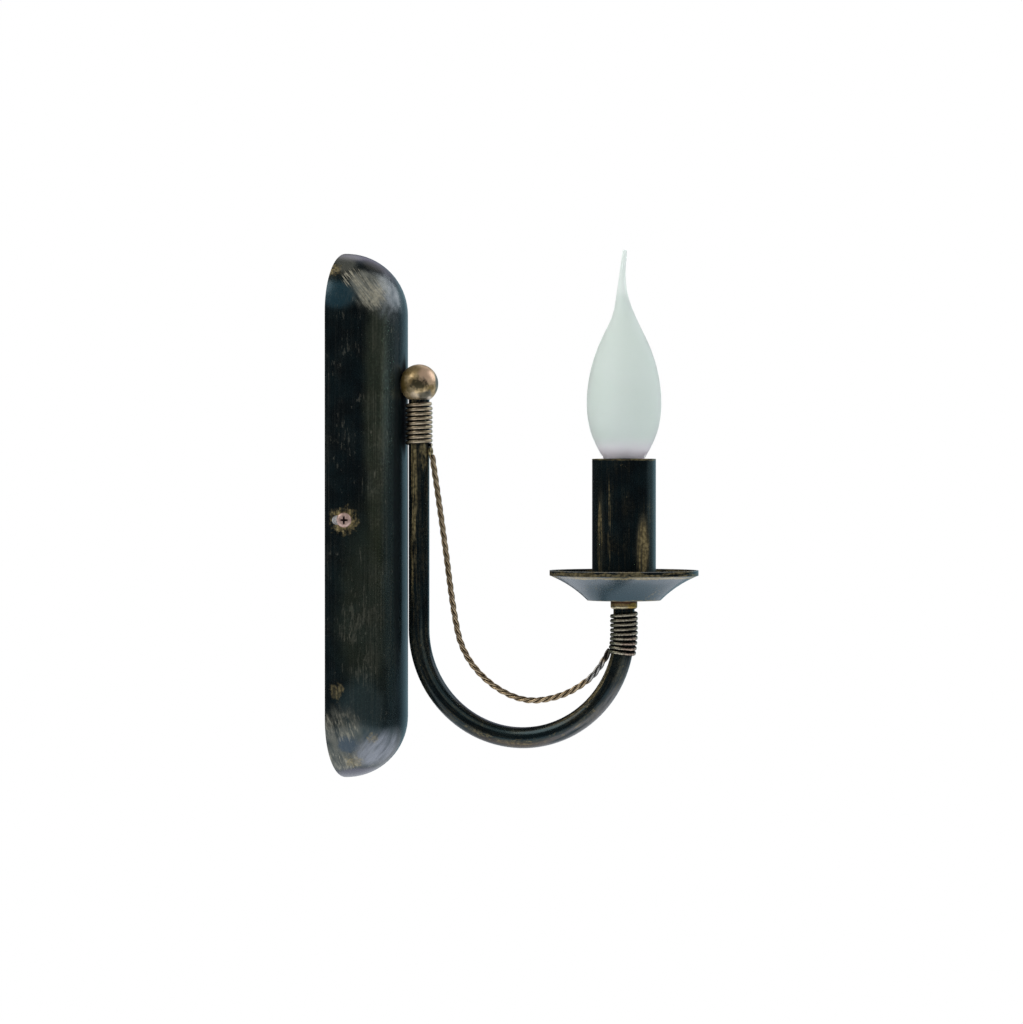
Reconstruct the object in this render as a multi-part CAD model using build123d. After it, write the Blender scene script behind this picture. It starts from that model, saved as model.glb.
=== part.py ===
from build123d import *
import os
from math import acos, cos, pi, radians, sin, sqrt, tan

# Wall lamp with one candle arm, in millimetres and degrees.
# The wall is the plane y = 0, the room lies towards -Y and +Z is up.
# The origin is the centre of the wall screws, at half the canopy's height.

# Fits between pieces
thread_fit = 0.05
slide_fit = 0.3
seat_gap = 0.05

# Canopy: a half-round sheet shell with domed ends
canopy_height = 253.0
canopy_radius = 29.5
canopy_wall = 1.0

# Side screws that hold the canopy on the bracket
side_screw_diameter = 4.0
side_screw_length = 6.5
side_screw_angle = 18.2
side_screw_level = -2.0
side_head_diameter = 7.0
side_head_height = 2.2
side_head_round = 1.3
side_slot_clearance = 0.2
side_slot_travel = 3.5
cross_width = 1.0
cross_span = 4.0
cross_depth = 1.2

# Wall bracket: a strap with two bent ears
strap_width = 22.0
strap_length = 150.0
strap_thickness = 2.0
wall_slot_spacing = 80.0
wall_slot_width = 5.0
wall_slot_length = 12.0
cable_hole_diameter = 12.0
cable_hole_level = 22.0
ear_width = 10.0
ear_front = 4.5
ear_back = 4.0
ear_setback = 4.0
ear_bend = 2.2

# Ball, threaded nipple, washer and nut
ball_diameter = 18.5
ball_level = 63.4
ball_land = 0.4
nipple_bore = 7.6
nipple_tail = 2.5
washer_diameter = 16.0
washer_thickness = 1.0
nut_across_flats = 14.0
nut_thickness = 3.0

# Arm: one tube with a half-circle bend
tube_diameter = 10.0
tube_wall = 1.0
candle_reach = 139.3
arm_drop = 117.7

# Wire windings on the arm
winding_wire = 1.5
winding_pitch = 2.2
winding_turns = 9
upper_winding_drop = 9.8
lower_winding_drop = 1.9

# Twisted swag and the eye that it hangs from
rope_diameter = 3.0
eye_wire = 1.6
eye_radius = 1.5
eye_drop = 3.0

# Drip pan, its collar and its nut
pan_rise = 14.7
pan_wall = 1.0
pan_floor_diameter = 34.4
pan_waist_diameter = 49.0
pan_waist_height = 6.1
pan_diameter = 70.0
pan_flank_height = 11.7
pan_height = 14.1
collar_diameter = 12.6
collar_height = 3.1
collar_round = 1.2
pan_washer_thickness = 0.9

# Candle sleeve
sleeve_diameter = 30.0
sleeve_wall = 1.0
sleeve_length = 65.5

# Lampholder
holder_diameter = 24.0
holder_height = 54.5
holder_wall = 1.6
holder_floor = 8.0
holder_thread = 7.0
base_height = 23.6
spigot_length = 5.0
web_thickness = 4.0
web_drop = 25.0
shell_wall = 0.4
shell_rim_drop = 1.5
shell_mouth = 9.0
tongue_width = 4.0
tongue_thickness = 0.5
tongue_run = 2.5
tab_width = 3.0
terminal_width = 5.0
terminal_height = 7.0
terminal_offset = 5.0
terminal_screw_diameter = 2.6
terminal_head_diameter = 4.2
terminal_head_height = 1.2

# Bulb with a small screw cap
bulb_diameter = 35.0
bulb_neck_diameter = 16.2
bulb_length = 101.0
bulb_belly_diameter = 30.2
bulb_belly = 14.0
bulb_widest = 29.0
bulb_shoulder_diameter = 21.3
bulb_shoulder = 59.0
bulb_flame_diameter = 8.2
bulb_flame = 74.0
bulb_root_diameter = 3.7
bulb_root = 85.0
bulb_tip_diameter = 1.9
bulb_sway = 1.0
bulb_sway_start = 70.0
bulb_sway_span = 27.5
glass_wall = 0.8
glass_depth = 3.0
glass_section_count = 18
hollow_section_count = 14
hollow_share = 0.8
cap_diameter = 13.8
cap_thread_depth = 1.2
cap_ridge = 0.72
cap_pitch = 2.82
cap_turns = 4
cap_wall = 0.4
skirt_diameter = 17.2
skirt_height = 4.5
skirt_gap = 0.6
cap_length = 15.5
insulator_height = 3.6
insulator_foot_diameter = 7.0
contact_diameter = 4.8
contact_height = 1.4
stem_flare = 10.0
stem_diameter = 5.0
stem_height = 24.0
lead_diameter = 0.5
lead_spread = 5.0
lead_height = 12.0
filament_diameter = 0.8
filament_rise = 3.0

# Mains connection in the canopy
wire_diameter = 2.2
wire_offset = 1.35
wire_bend = 5.0
wire_dip = 15.0
block_width = 26.0
block_depth = 15.0
block_height = 17.0
block_level = -22.5
pole_pitch = 8.0
pole_depth = 6.5
clamp_diameter = 4.2
clamp_bore = 2.8
clamp_length = 15.0
clamp_screw_diameter = 2.6
clamp_screw_spacing = 8.0
clamp_head_diameter = 3.6
clamp_head_height = 1.4
block_screw_diameter = 2.5
block_head_diameter = 4.4
block_head_height = 1.6
earth_screw_level = 5.0
earth_screw_diameter = 4.0
earth_head_diameter = 7.5
earth_head_height = 2.4
lug_diameter = 8.0
lug_thickness = 0.8
lug_barrel_diameter = 3.4
lug_barrel_length = 5.0

# Places that follow from the sizes
ball_radius = ball_diameter / 2
tube_radius = tube_diameter / 2
ball_seat = sqrt(ball_radius**2 - (tube_radius + ball_land) ** 2)
ball_core = tube_radius + 2 * thread_fit
canopy_inner = canopy_radius - canopy_wall
arm_y = -(canopy_radius + ball_seat)
candle_y = -candle_reach
bend_radius = (arm_y - candle_y) / 2
bend_y = arm_y - bend_radius
bend_z = ball_level - arm_drop
tube_top = ball_level - ball_core
pan_bottom = bend_z + pan_rise
pan_floor = pan_bottom + pan_wall
holder_bottom = pan_floor + nut_thickness
tube_end = holder_bottom + holder_thread
holder_top = holder_bottom + holder_height
base_top = holder_bottom + base_height
web_top = holder_top - web_drop
web_bottom = web_top - web_thickness
sleeve_top = pan_floor + sleeve_length
cap_shoulder = holder_top + skirt_gap
cap_top = cap_shoulder + skirt_height
cap_bottom = cap_shoulder - cap_length
insulator_bottom = cap_bottom - insulator_height
contact_bottom = insulator_bottom - contact_height
shell_bore = cap_diameter / 2 + slide_fit
winding_radius = tube_radius + seat_gap + winding_wire / 2
block_top = block_level + block_height / 2
pole_y = -(strap_thickness + pole_depth)
block_front = -(strap_thickness + block_depth)
terminal_bottom = web_bottom - terminal_height
candle = Pos(0, candle_y, 0)


def upright(radius, bottom, top):
    """A cylinder on the Z axis between two heights."""
    column = Cylinder(radius, top - bottom, align=(Align.CENTER, Align.CENTER, Align.MIN))
    return Pos(0, 0, bottom) * column


def ring(outer, inner, bottom, top):
    """A tube on the Z axis between two heights."""
    return upright(outer, bottom, top) - upright(inner, bottom, top)


def forward(radius, back, front):
    """A cylinder along -Y from the distance back to the distance front from the wall."""
    return Rot(90, 0, 0) * upright(radius, back, front)


def hexagon(across_flats, bore, bottom, top):
    """A hexagon nut on the Z axis between two heights."""
    flat = RegularPolygon(across_flats / 2, 6, major_radius=False) - Circle(bore)
    return Pos(0, 0, bottom) * extrude(flat, top - bottom)


def turned(*points):
    """A solid turned about the Z axis from an outline of radius and height."""
    outline = Plane.XZ * make_face(Polyline(*points, close=True))
    return revolve(outline, Axis.Z)


def circle_through(first, second, third):
    """Centre and radius of the circle through three points."""
    one = second - first
    two = third - first
    cross = 2 * (one.X * two.Y - one.Y * two.X)
    x = (two.Y * one.dot(one) - one.Y * two.dot(two)) / cross
    y = (one.X * two.dot(two) - two.X * one.dot(one)) / cross
    return first + Vector(x, y), Vector(x, y).length


def rod(path, radius):
    """A round rod swept along a path."""
    start = Plane(origin=path @ 0, z_dir=path % 0)
    return sweep(start * Circle(radius), path=path)


def cross_recess(top):
    """A cross-shaped driver recess below the height top on the Z axis."""
    bar = Box(cross_span, cross_width, cross_depth, align=(Align.CENTER, Align.CENTER, Align.MAX))
    return Pos(0, 0, top) * (bar + Rot(0, 0, 90) * bar)


def slot_recess(diameter, depth, top):
    """A straight driver slot below the height top on the Z axis."""
    bar = Box(diameter * 2, diameter / 5, depth, align=(Align.CENTER, Align.CENTER, Align.MAX))
    return Pos(0, 0, top) * bar


# Canopy, bracket and side screws


def half_capsule(radius):
    """The room side of an upright capsule with the canopy's straight length."""
    straight = canopy_height / 2 - canopy_radius
    outline = make_face(
        Line((0, -straight - radius), (0, straight + radius))
        + RadiusArc((0, straight + radius), (radius, straight), radius)
        + Line((radius, straight), (radius, -straight))
        + RadiusArc((radius, -straight), (0, -straight - radius), radius)
    )
    return Rot(0, 0, 180) * revolve(Plane.XZ * outline, Axis.Z, 180)


def side_plane(side):
    """Frame of a side screw: its Z axis points out of the canopy, its X axis to the wall."""
    angle = radians(side_screw_angle)
    outward = (side * cos(angle), -sin(angle), 0)
    to_wall = (side * sin(angle), cos(angle), 0)
    return Plane(origin=(0, 0, side_screw_level), x_dir=to_wall, z_dir=outward)


def make_canopy():
    shell = half_capsule(canopy_radius) - half_capsule(canopy_inner)
    shell -= Pos(0, 0, ball_level) * forward(tube_radius + slide_fit, canopy_inner / 2, canopy_radius * 2)
    slot_height = side_screw_diameter + 2 * side_slot_clearance
    for side in (-1, 1):
        place = side_plane(side) * Pos(side_slot_travel / 2, 0, canopy_radius)
        slot = place * SlotCenterToCenter(side_slot_travel, slot_height)
        shell -= extrude(slot, 3 * canopy_wall, both=True)
    return shell


def ear_outline():
    """Middle line of the sheet of the right ear, from the strap out to its tip."""
    angle = radians(side_screw_angle)
    half = strap_thickness / 2
    radius = sqrt((canopy_inner - slide_fit) ** 2 - ear_front**2) - half
    outward = Vector(cos(angle), -sin(angle))
    to_wall = Vector(sin(angle), cos(angle))
    tip = outward * radius - to_wall * (ear_front - half)
    knee = outward * radius + to_wall * ear_back
    heel = Vector(knee.X - ear_setback, -half)
    root = Vector(strap_width / 2 - half, -half)
    return FilletPolyline(root, heel, knee, tip, radius=ear_bend)


def make_bracket():
    through = 2 * strap_thickness
    strap = Pos(0, -strap_thickness / 2, 0) * Box(strap_width, strap_thickness, strap_length)
    for level in (-wall_slot_spacing / 2, wall_slot_spacing / 2):
        slot = Plane.XZ * Pos(0, level) * Rot(0, 0, 90) * SlotOverall(wall_slot_length, wall_slot_width)
        strap -= extrude(slot, through, both=True)
    strap -= Pos(0, 0, cable_hole_level) * forward(cable_hole_diameter / 2, -strap_thickness, through)
    earth_hole = forward(earth_screw_diameter / 2 + thread_fit, -strap_thickness, through)
    block_hole = forward(block_screw_diameter / 2 + thread_fit, -strap_thickness, through)
    strap -= Pos(0, 0, earth_screw_level) * earth_hole
    strap -= Pos(pole_pitch / 2, 0, block_level) * block_hole
    sheet = make_face(ear_outline().wire().offset_2d(strap_thickness / 2))
    ear = Pos(0, 0, side_screw_level - ear_width / 2) * extrude(sheet, ear_width)
    hole = Cylinder(side_screw_diameter / 2 + thread_fit, canopy_radius * 2)
    ear -= side_plane(1) * Pos(0, 0, canopy_radius) * hole
    return strap + ear + mirror(ear, Plane.YZ)


def make_side_screw(side):
    radius = side_screw_diameter / 2
    head_top = canopy_radius + side_head_height
    head = upright(side_head_diameter / 2, canopy_radius, head_top)
    head = fillet(head.edges().sort_by(Axis.Z)[-1], side_head_round)
    shank = upright(radius, canopy_radius - side_screw_length, canopy_radius)
    return side_plane(side) * (head + shank - cross_recess(head_top))


# Ball, nipple, washer and nut


def make_ball():
    ball = Sphere(ball_radius)
    bore = tube_radius + thread_fit
    ball -= upright(bore, -ball_diameter, 0)
    ball -= Rot(-90, 0, 0) * upright(bore, 0, ball_diameter)
    ball -= Sphere(bore)
    behind = Box(ball_diameter, ball_diameter, ball_diameter, align=(Align.CENTER, Align.MIN, Align.CENTER))
    ball -= Pos(0, ball_seat, 0) * behind
    return Pos(0, arm_y, ball_level) * ball


washer_front = sqrt(canopy_inner**2 - (washer_diameter / 2) ** 2) - seat_gap
nut_front = washer_front - washer_thickness
nut_back = nut_front - nut_thickness
nipple_back = nut_back - nipple_tail
at_ball = Pos(0, 0, ball_level)


def make_nipple():
    nipple = forward(tube_radius, nipple_back, -arm_y - ball_core)
    return at_ball * (nipple - forward(nipple_bore / 2, 0, canopy_radius * 2))


def make_nipple_washer():
    washer = forward(washer_diameter / 2, nut_front, washer_front)
    return at_ball * (washer - forward(tube_radius + thread_fit, 0, canopy_radius))


def make_nipple_nut():
    nut = hexagon(nut_across_flats, tube_radius + thread_fit, nut_back, nut_front)
    return at_ball * Rot(90, 0, 0) * nut


# Arm tube and windings


def arm_path(top, end, side):
    """Middle line of the arm, set sideways by side, from the height top round to the height end."""
    down = Line((side, arm_y, top), (side, arm_y, bend_z))
    low = (side, bend_y, bend_z - bend_radius)
    bend = ThreePointArc((side, arm_y, bend_z), low, (side, candle_y, bend_z))
    up = Line((side, candle_y, bend_z), (side, candle_y, end))
    return [down, bend, up]


def make_arm_tube():
    section = Circle(tube_radius) - Circle(tube_radius - tube_wall)
    start = Plane(origin=(0, arm_y, tube_top), x_dir=(1, 0, 0), z_dir=(0, 0, -1))
    return sweep(start * section, path=Wire(arm_path(tube_top, tube_end, 0)))


def straight_station(rise):
    """Place and outward direction on the upright under the ball, by the height above the bend."""
    return Vector(0, arm_y, bend_z + rise), Vector(0, -1, 0)


def lamp_station(rise):
    """Place and outward direction on the lamp end of the arm, which bends where rise is negative."""
    if rise >= 0:
        return Vector(0, candle_y, bend_z + rise), Vector(0, -1, 0)
    angle = -rise / bend_radius
    outward = Vector(0, -cos(angle), -sin(angle))
    return Vector(0, bend_y, bend_z) + outward * bend_radius, outward


def helix_point(station, low, turn, radius, pitch):
    """A point of a right-hand winding, so many turns above its low end."""
    place, outward = station(low + turn * pitch)
    angle = 2 * pi * turn
    return place + outward * (radius * cos(angle)) + Vector(radius * sin(angle), 0, 0)


def biarc(start, start_dir, end, end_dir):
    """Two arcs that join two points and keep both end directions."""
    span = end - start
    total = start_dir + end_dir
    spread = 2 * (1 - start_dir.dot(end_dir))
    lean = span.dot(total)
    reach = (sqrt(lean**2 + spread * span.dot(span)) - lean) / spread
    first = start + start_dir * reach
    second = end - end_dir * reach
    middle = (first + second) / 2
    return [
        TangentArc(start, middle, tangent=start_dir),
        TangentArc(middle, end, tangent=second - first),
    ]


def helix_wire(station, low, turns, radius, pitch):
    """A helix as two arcs for each quarter turn."""
    def point(turn):
        return helix_point(station, low, turn, radius, pitch)

    def direction(turn):
        step = 0.001
        return (point(turn + step) - point(turn - step)).normalized()

    edges = []
    for quarter in range(turns * 4):
        start = quarter / 4
        end = (quarter + 1) / 4
        edges += biarc(point(start), direction(start), point(end), direction(end))
    return Wire(edges)


def winding_gap(station, low):
    """Least gap between neighbouring turns, measured on points."""
    steps = 36
    points = []
    for step in range(winding_turns * steps + 1):
        points.append(helix_point(station, low, step / steps, winding_radius, winding_pitch))
    least = min(
        (points[i] - points[j]).length
        for i in range(len(points))
        for j in range(i + steps // 2, min(i + 2 * steps, len(points)))
    )
    return least - winding_wire


winding_height = winding_turns * winding_pitch
upper_low = arm_drop - upper_winding_drop - winding_height
lower_low = pan_rise - pan_washer_thickness - collar_height - lower_winding_drop - winding_height


def make_winding(name, station, low):
    print(name, "least gap to itself", round(winding_gap(station, low), 2), "mm")
    path = helix_wire(station, low, winding_turns, winding_radius, winding_pitch)
    return rod(path, winding_wire / 2)


# Twisted swag between the windings, as distance from the upright tube and height above the bend
rope_route = [
    (1.75, 82.2),
    (7.5, 46.3),
    (12.5, 9.1),
    (17.0, -10.9),
    (30.5, -26.4),
    (49.0, -34.9),
    (67.0, -31.9),
    (79.5, -24.9),
    (86.5, -17.9),
    (90.6, -11.0),
]
# Inner width of the bend and height of the eye above it that the route is drawn for
rope_room = 93.6
rope_fall = 84.4
corner_share = 0.45


def rope_points():
    """The swag's route, fitted between the upright and the lamp end of the arm."""
    wide = 2 * (bend_radius - tube_radius) / rope_room
    tall = (upper_low - eye_drop) / rope_fall
    points = []
    for out, rise in rope_route:
        height = rise * (tall if rise > 0 else wide)
        points.append(Vector(0, arm_y - tube_radius - out * wide, bend_z + height))
    return points


def make_rope():
    points = rope_points()
    radii = []
    for before, corner, after in zip(points, points[1:], points[2:]):
        turn = acos((corner - before).normalized().dot((after - corner).normalized()))
        run = min((corner - before).length, (after - corner).length)
        radii.append(corner_share * run / tan(turn / 2))
    path = FilletPolyline(*points, radius=radii).wire()
    rope = rod(path, rope_diameter / 2)
    print("swag corner radii", [round(radius, 1) for radius in radii])
    print("swag length", round(path.length, 1), "volume", round(rope.volume, 1))
    print("swag section times length", round(pi * (rope_diameter / 2) ** 2 * path.length, 1))
    return rope


def make_rope_eye():
    level = bend_z + upper_low - eye_drop
    out = tube_radius + seat_gap + eye_wire / 2
    return Pos(0, arm_y - out, level) * Rot(90, 0, 0) * Torus(eye_radius, eye_wire / 2)


# Collar, drip pan and sleeve


def make_collar():
    top = pan_bottom - pan_washer_thickness
    collar = upright(collar_diameter / 2, top - collar_height, top)
    collar = fillet(collar.edges().sort_by(Axis.Z)[0], collar_round)
    return candle * (collar - upright(tube_radius + thread_fit, top - 2 * collar_height, top))


def make_pan_washer():
    bottom = pan_bottom - pan_washer_thickness
    return candle * ring(collar_diameter / 2, tube_radius + thread_fit, bottom, pan_bottom)


def make_drip_pan():
    """A pressed sheet with a flat floor, a flank that flares along an arc, and an upright rim."""
    bore = tube_radius + thread_fit
    rim = pan_diameter / 2
    rim_inside = rim - pan_wall
    foot = Vector(pan_floor_diameter / 2, 0)
    waist = Vector(pan_waist_diameter / 2, pan_waist_height)
    brow = Vector(rim, pan_flank_height)
    centre, radius = circle_through(foot, waist, brow)
    inside = radius + pan_wall
    foot_inside = Vector(centre.X - sqrt(inside**2 - (pan_wall - centre.Y) ** 2), pan_wall)
    brow_inside = Vector(rim_inside, centre.Y + sqrt(inside**2 - (centre.X - rim_inside) ** 2))
    to_waist = (waist - centre).normalized()
    outline = make_face(
        Line((bore, 0), foot)
        + ThreePointArc(foot, waist, brow)
        + Polyline(brow, (rim, pan_height), (rim_inside, pan_height), brow_inside)
        + ThreePointArc(brow_inside, centre + to_waist * inside, foot_inside)
        + Polyline(foot_inside, (bore, pan_wall), (bore, 0))
    )
    return candle * Pos(0, 0, pan_bottom) * revolve(Plane.XZ * outline, Axis.Z)


def make_pan_nut():
    return candle * hexagon(nut_across_flats, tube_radius + thread_fit, pan_floor, holder_bottom)


def make_sleeve():
    return candle * ring(sleeve_diameter / 2, sleeve_diameter / 2 - sleeve_wall, pan_floor, sleeve_top)


# Lampholder

spigot_radius = holder_diameter / 2 - holder_wall - thread_fit
spigot_bore = spigot_radius - holder_wall
shell_outer = shell_bore + shell_wall
shell_bottom = web_top
tongue_top = contact_bottom - seat_gap


def make_holder_base():
    base = upright(holder_diameter / 2, holder_bottom, base_top)
    base -= upright(spigot_radius + thread_fit, holder_bottom + holder_floor, base_top)
    return candle * (base - upright(tube_radius + thread_fit, holder_bottom, base_top))


def make_holder_body():
    body = upright(holder_diameter / 2, base_top, holder_top)
    body += upright(spigot_radius, base_top - spigot_length, base_top)
    body -= upright(spigot_bore, base_top - spigot_length, web_bottom)
    body -= upright(shell_outer + thread_fit, web_top, holder_top)
    for side in (-1, 1):
        slot_width = tab_width + 2 * thread_fit
        slot = Box(tongue_thickness + 2 * thread_fit, slot_width, 3 * web_thickness)
        body -= Pos(side * terminal_offset, 0, web_top) * slot
    return candle * body


def contact_tab(side, top):
    """A strip from the height top down through the web to a terminal."""
    height = top - web_bottom
    tab = Box(tongue_thickness, tab_width, height, align=(Align.CENTER, Align.CENTER, Align.MIN))
    return Pos(side * terminal_offset, 0, web_bottom) * tab


def make_holder_shell():
    shell = ring(shell_outer, shell_bore, shell_bottom, holder_top - shell_rim_drop)
    floor = ring(shell_outer, shell_mouth / 2, shell_bottom, shell_bottom + shell_wall)
    notch = Box(2 * tongue_run, tab_width + 2 * tongue_thickness, 4 * shell_wall)
    floor -= Pos(terminal_offset, 0, shell_bottom) * notch
    return candle * (shell + floor + contact_tab(-1, shell_bottom + shell_wall))


def make_holder_contact():
    foot = web_top + shell_wall + tongue_thickness
    half = tongue_thickness / 2
    line = Polyline(
        (terminal_offset, foot + half),
        (tongue_run, foot + half),
        (0, tongue_top - half),
        (-tongue_run, tongue_top - half),
    )
    strip = make_face(line.wire().offset_2d(half, kind=Kind.ARC))
    tongue = extrude(Plane.XZ * strip, tongue_width / 2, both=True)
    return candle * (tongue + contact_tab(1, foot + half))


def make_holder_terminal(side):
    hanging = (Align.CENTER, Align.CENTER, Align.MAX)
    block = Box(terminal_width, terminal_width, terminal_height, align=hanging)
    block = Pos(side * terminal_offset, 0, web_bottom) * block
    bore = wire_diameter / 2 + thread_fit
    block -= Pos(side * terminal_offset, 0, 0) * upright(bore, terminal_bottom, web_bottom - tab_width)
    middle = terminal_bottom + terminal_height / 3
    hole = forward(terminal_screw_diameter / 2 + thread_fit, 0, terminal_width)
    return candle * (block - Pos(side * terminal_offset, 0, middle) * hole)


def make_holder_terminal_screw(side):
    middle = terminal_bottom + terminal_height / 3
    head_back = terminal_width / 2
    head_top = head_back + terminal_head_height
    screw = upright(terminal_screw_diameter / 2, wire_diameter / 2 + thread_fit, head_back)
    screw += upright(terminal_head_diameter / 2, head_back, head_top)
    screw -= slot_recess(terminal_head_diameter, terminal_head_height / 2, head_top)
    return candle * Pos(side * terminal_offset, 0, middle) * Rot(90, 0, 0) * screw


# Bulb


def bulb_outline():
    """Half outline of the glass from its neck to its tip, as radius and height above the cap."""
    return Spline(
        (bulb_neck_diameter / 2, 0),
        (bulb_belly_diameter / 2, bulb_belly),
        (bulb_diameter / 2, bulb_widest),
        (bulb_shoulder_diameter / 2, bulb_shoulder),
        (bulb_flame_diameter / 2, bulb_flame),
        (bulb_root_diameter / 2, bulb_root),
        (bulb_tip_diameter / 2, bulb_length),
        tangents=[(0.5, 1), (-0.05, 1)],
    )


def bulb_lean(height):
    """Forward lean of the flame tip at a height above the cap."""
    share = max(0, (height - bulb_sway_start) / bulb_sway_span)
    return -bulb_sway * sin(pi * share)


def glass_form(inset, sections, last):
    """A form lofted through level circles, set in by inset, up to the share last of the outline."""
    outline = bulb_outline()
    neck = bulb_neck_diameter / 2 - inset
    circles = [Pos(0, 0, cap_top - glass_depth) * Circle(neck)]
    for index in range(sections + 1):
        point = outline @ (last * index / sections)
        place = Pos(0, -bulb_lean(point.Y), cap_top + point.Y)
        circles.append(place * Circle(point.X - inset))
    return loft(circles)


def make_bulb_glass():
    hollow = glass_form(glass_wall, hollow_section_count, hollow_share)
    return candle * (glass_form(0, glass_section_count, 1) - hollow)


def cap_station(rise):
    """Place and outward direction on the cap's axis, by the height above its low edge."""
    return Vector(0, 0, cap_bottom + rise), Vector(0, -1, 0)


def make_bulb_cap():
    core = cap_diameter / 2 - cap_thread_depth
    inner = core - cap_wall
    neck = bulb_neck_diameter / 2 + thread_fit
    skirt = skirt_diameter / 2
    cap = turned(
        (inner, cap_bottom),
        (core, cap_bottom),
        (core, cap_shoulder - cap_wall),
        (skirt, cap_shoulder),
        (skirt, cap_top),
        (neck, cap_top),
        (neck, cap_top - glass_depth - seat_gap),
        (inner, cap_top - glass_depth - seat_gap),
    )
    path = helix_wire(cap_station, 2 * cap_ridge, cap_turns, cap_diameter / 2 - cap_ridge, cap_pitch)
    return candle * (cap + rod(path, cap_ridge))


def make_bulb_insulator():
    top = cap_diameter / 2 - cap_thread_depth
    foot = insulator_foot_diameter / 2
    return candle * turned(
        (0, insulator_bottom),
        (foot, insulator_bottom),
        (top, cap_bottom - seat_gap),
        (0, cap_bottom - seat_gap),
    )


def make_bulb_contact():
    contact = upright(contact_diameter / 2, contact_bottom, insulator_bottom - seat_gap)
    return candle * fillet(contact.edges().sort_by(Axis.Z)[0], contact_height / 2)


def make_bulb_stem():
    flare = bulb_neck_diameter / 2 - glass_wall - slide_fit
    stem = stem_diameter / 2
    low = cap_top - glass_depth
    return candle * turned(
        (0, low + glass_wall),
        (flare - glass_wall, low),
        (flare, low),
        (stem, low + stem_flare),
        (stem, cap_top + stem_height),
        (0, cap_top + stem_height),
    )


stem_top = cap_top + stem_height + seat_gap
lead_root = stem_diameter / 4
filament_level = stem_top + lead_height


def make_bulb_lead(side):
    start = (side * lead_root, 0, stem_top)
    path = Line(start, (side * lead_spread, 0, filament_level))
    return candle * rod(path, lead_diameter / 2)


def make_filament():
    low = filament_level + lead_diameter / 2 + filament_diameter / 2
    ends = [(-lead_spread, 0, low), (lead_spread, 0, low)]
    path = ThreePointArc(ends[0], (0, 0, low + filament_rise), ends[1])
    return candle * rod(path, filament_diameter / 2)


# Mains connection


def make_terminal_block():
    block = Pos(0, block_front + block_depth / 2, block_level) * Box(block_width, block_depth, block_height)
    bore = upright(clamp_diameter / 2 + thread_fit, block_level - block_height, block_level + block_height)
    for pole in (-1, 0, 1):
        block -= Pos(pole * pole_pitch, pole_y, 0) * bore
        for step in (-1, 1):
            place = Pos(pole * pole_pitch, 0, block_level + step * clamp_screw_spacing / 2)
            block -= place * forward(clamp_head_diameter / 2 + thread_fit, -pole_y, -block_front * 2)
    screw = Pos(pole_pitch / 2, 0, block_level)
    block -= screw * forward(block_screw_diameter / 2 + thread_fit, 0, -block_front * 2)
    head = block_head_diameter / 2 + thread_fit
    return block - screw * forward(head, -block_front - block_head_height, -block_front * 2)


def make_clamp(pole):
    low = block_level - clamp_length / 2
    clamp = ring(clamp_diameter / 2, clamp_bore / 2, low, low + clamp_length)
    for step in (-1, 1):
        hole = forward(clamp_screw_diameter / 2 + thread_fit, 0, clamp_diameter)
        clamp -= Pos(0, 0, block_level + step * clamp_screw_spacing / 2) * hole
    return Pos(pole * pole_pitch, pole_y, 0) * clamp


def make_clamp_screw(pole, step):
    seat = clamp_diameter / 2 + thread_fit
    tip = wire_diameter / 2 + thread_fit
    screw = upright(clamp_screw_diameter / 2, tip, seat)
    screw += upright(clamp_head_diameter / 2, seat, seat + clamp_head_height)
    screw -= slot_recess(clamp_head_diameter, clamp_head_height / 2, seat + clamp_head_height)
    level = block_level + step * clamp_screw_spacing / 2
    return Pos(pole * pole_pitch, pole_y, level) * Rot(90, 0, 0) * screw


def make_block_screw():
    seat = -block_front - block_head_height
    screw = upright(block_screw_diameter / 2, seat_gap, seat)
    screw += upright(block_head_diameter / 2, seat, seat + block_head_height)
    screw -= slot_recess(block_head_diameter, block_head_height / 2, seat + block_head_height)
    return Pos(pole_pitch / 2, 0, block_level) * Rot(90, 0, 0) * screw


def make_earth_screw():
    seat = strap_thickness + lug_thickness
    top = seat + earth_head_height
    screw = upright(earth_screw_diameter / 2, seat_gap, seat)
    screw += upright(earth_head_diameter / 2, seat, top)
    return Pos(0, 0, earth_screw_level) * Rot(90, 0, 0) * (screw - cross_recess(top))


lug_axis_y = -(strap_thickness + lug_barrel_diameter / 2)
lug_barrel_top = earth_screw_level - lug_diameter / 2


def make_earth_lug():
    plate = forward(lug_diameter / 2, strap_thickness, strap_thickness + lug_thickness)
    plate -= forward(earth_screw_diameter / 2 + thread_fit, 0, strap_thickness * 2)
    low = lug_barrel_top - lug_barrel_length
    barrel = upright(lug_barrel_diameter / 2, low, lug_barrel_top)
    bore = upright(wire_diameter / 2 + thread_fit, low, lug_barrel_top - lug_thickness)
    standing = (Align.CENTER, Align.MAX, Align.MIN)
    neck = Box(lug_barrel_diameter, lug_thickness, lug_diameter / 2, align=standing)
    neck = Pos(0, -strap_thickness, lug_barrel_top - lug_thickness) * neck
    neck -= Pos(0, 0, earth_screw_level) * forward(earth_head_diameter / 2, 0, strap_thickness * 2)
    barrel = Pos(0, lug_axis_y, 0) * (barrel - bore)
    return Pos(0, 0, earth_screw_level) * plate + neck + barrel


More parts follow.
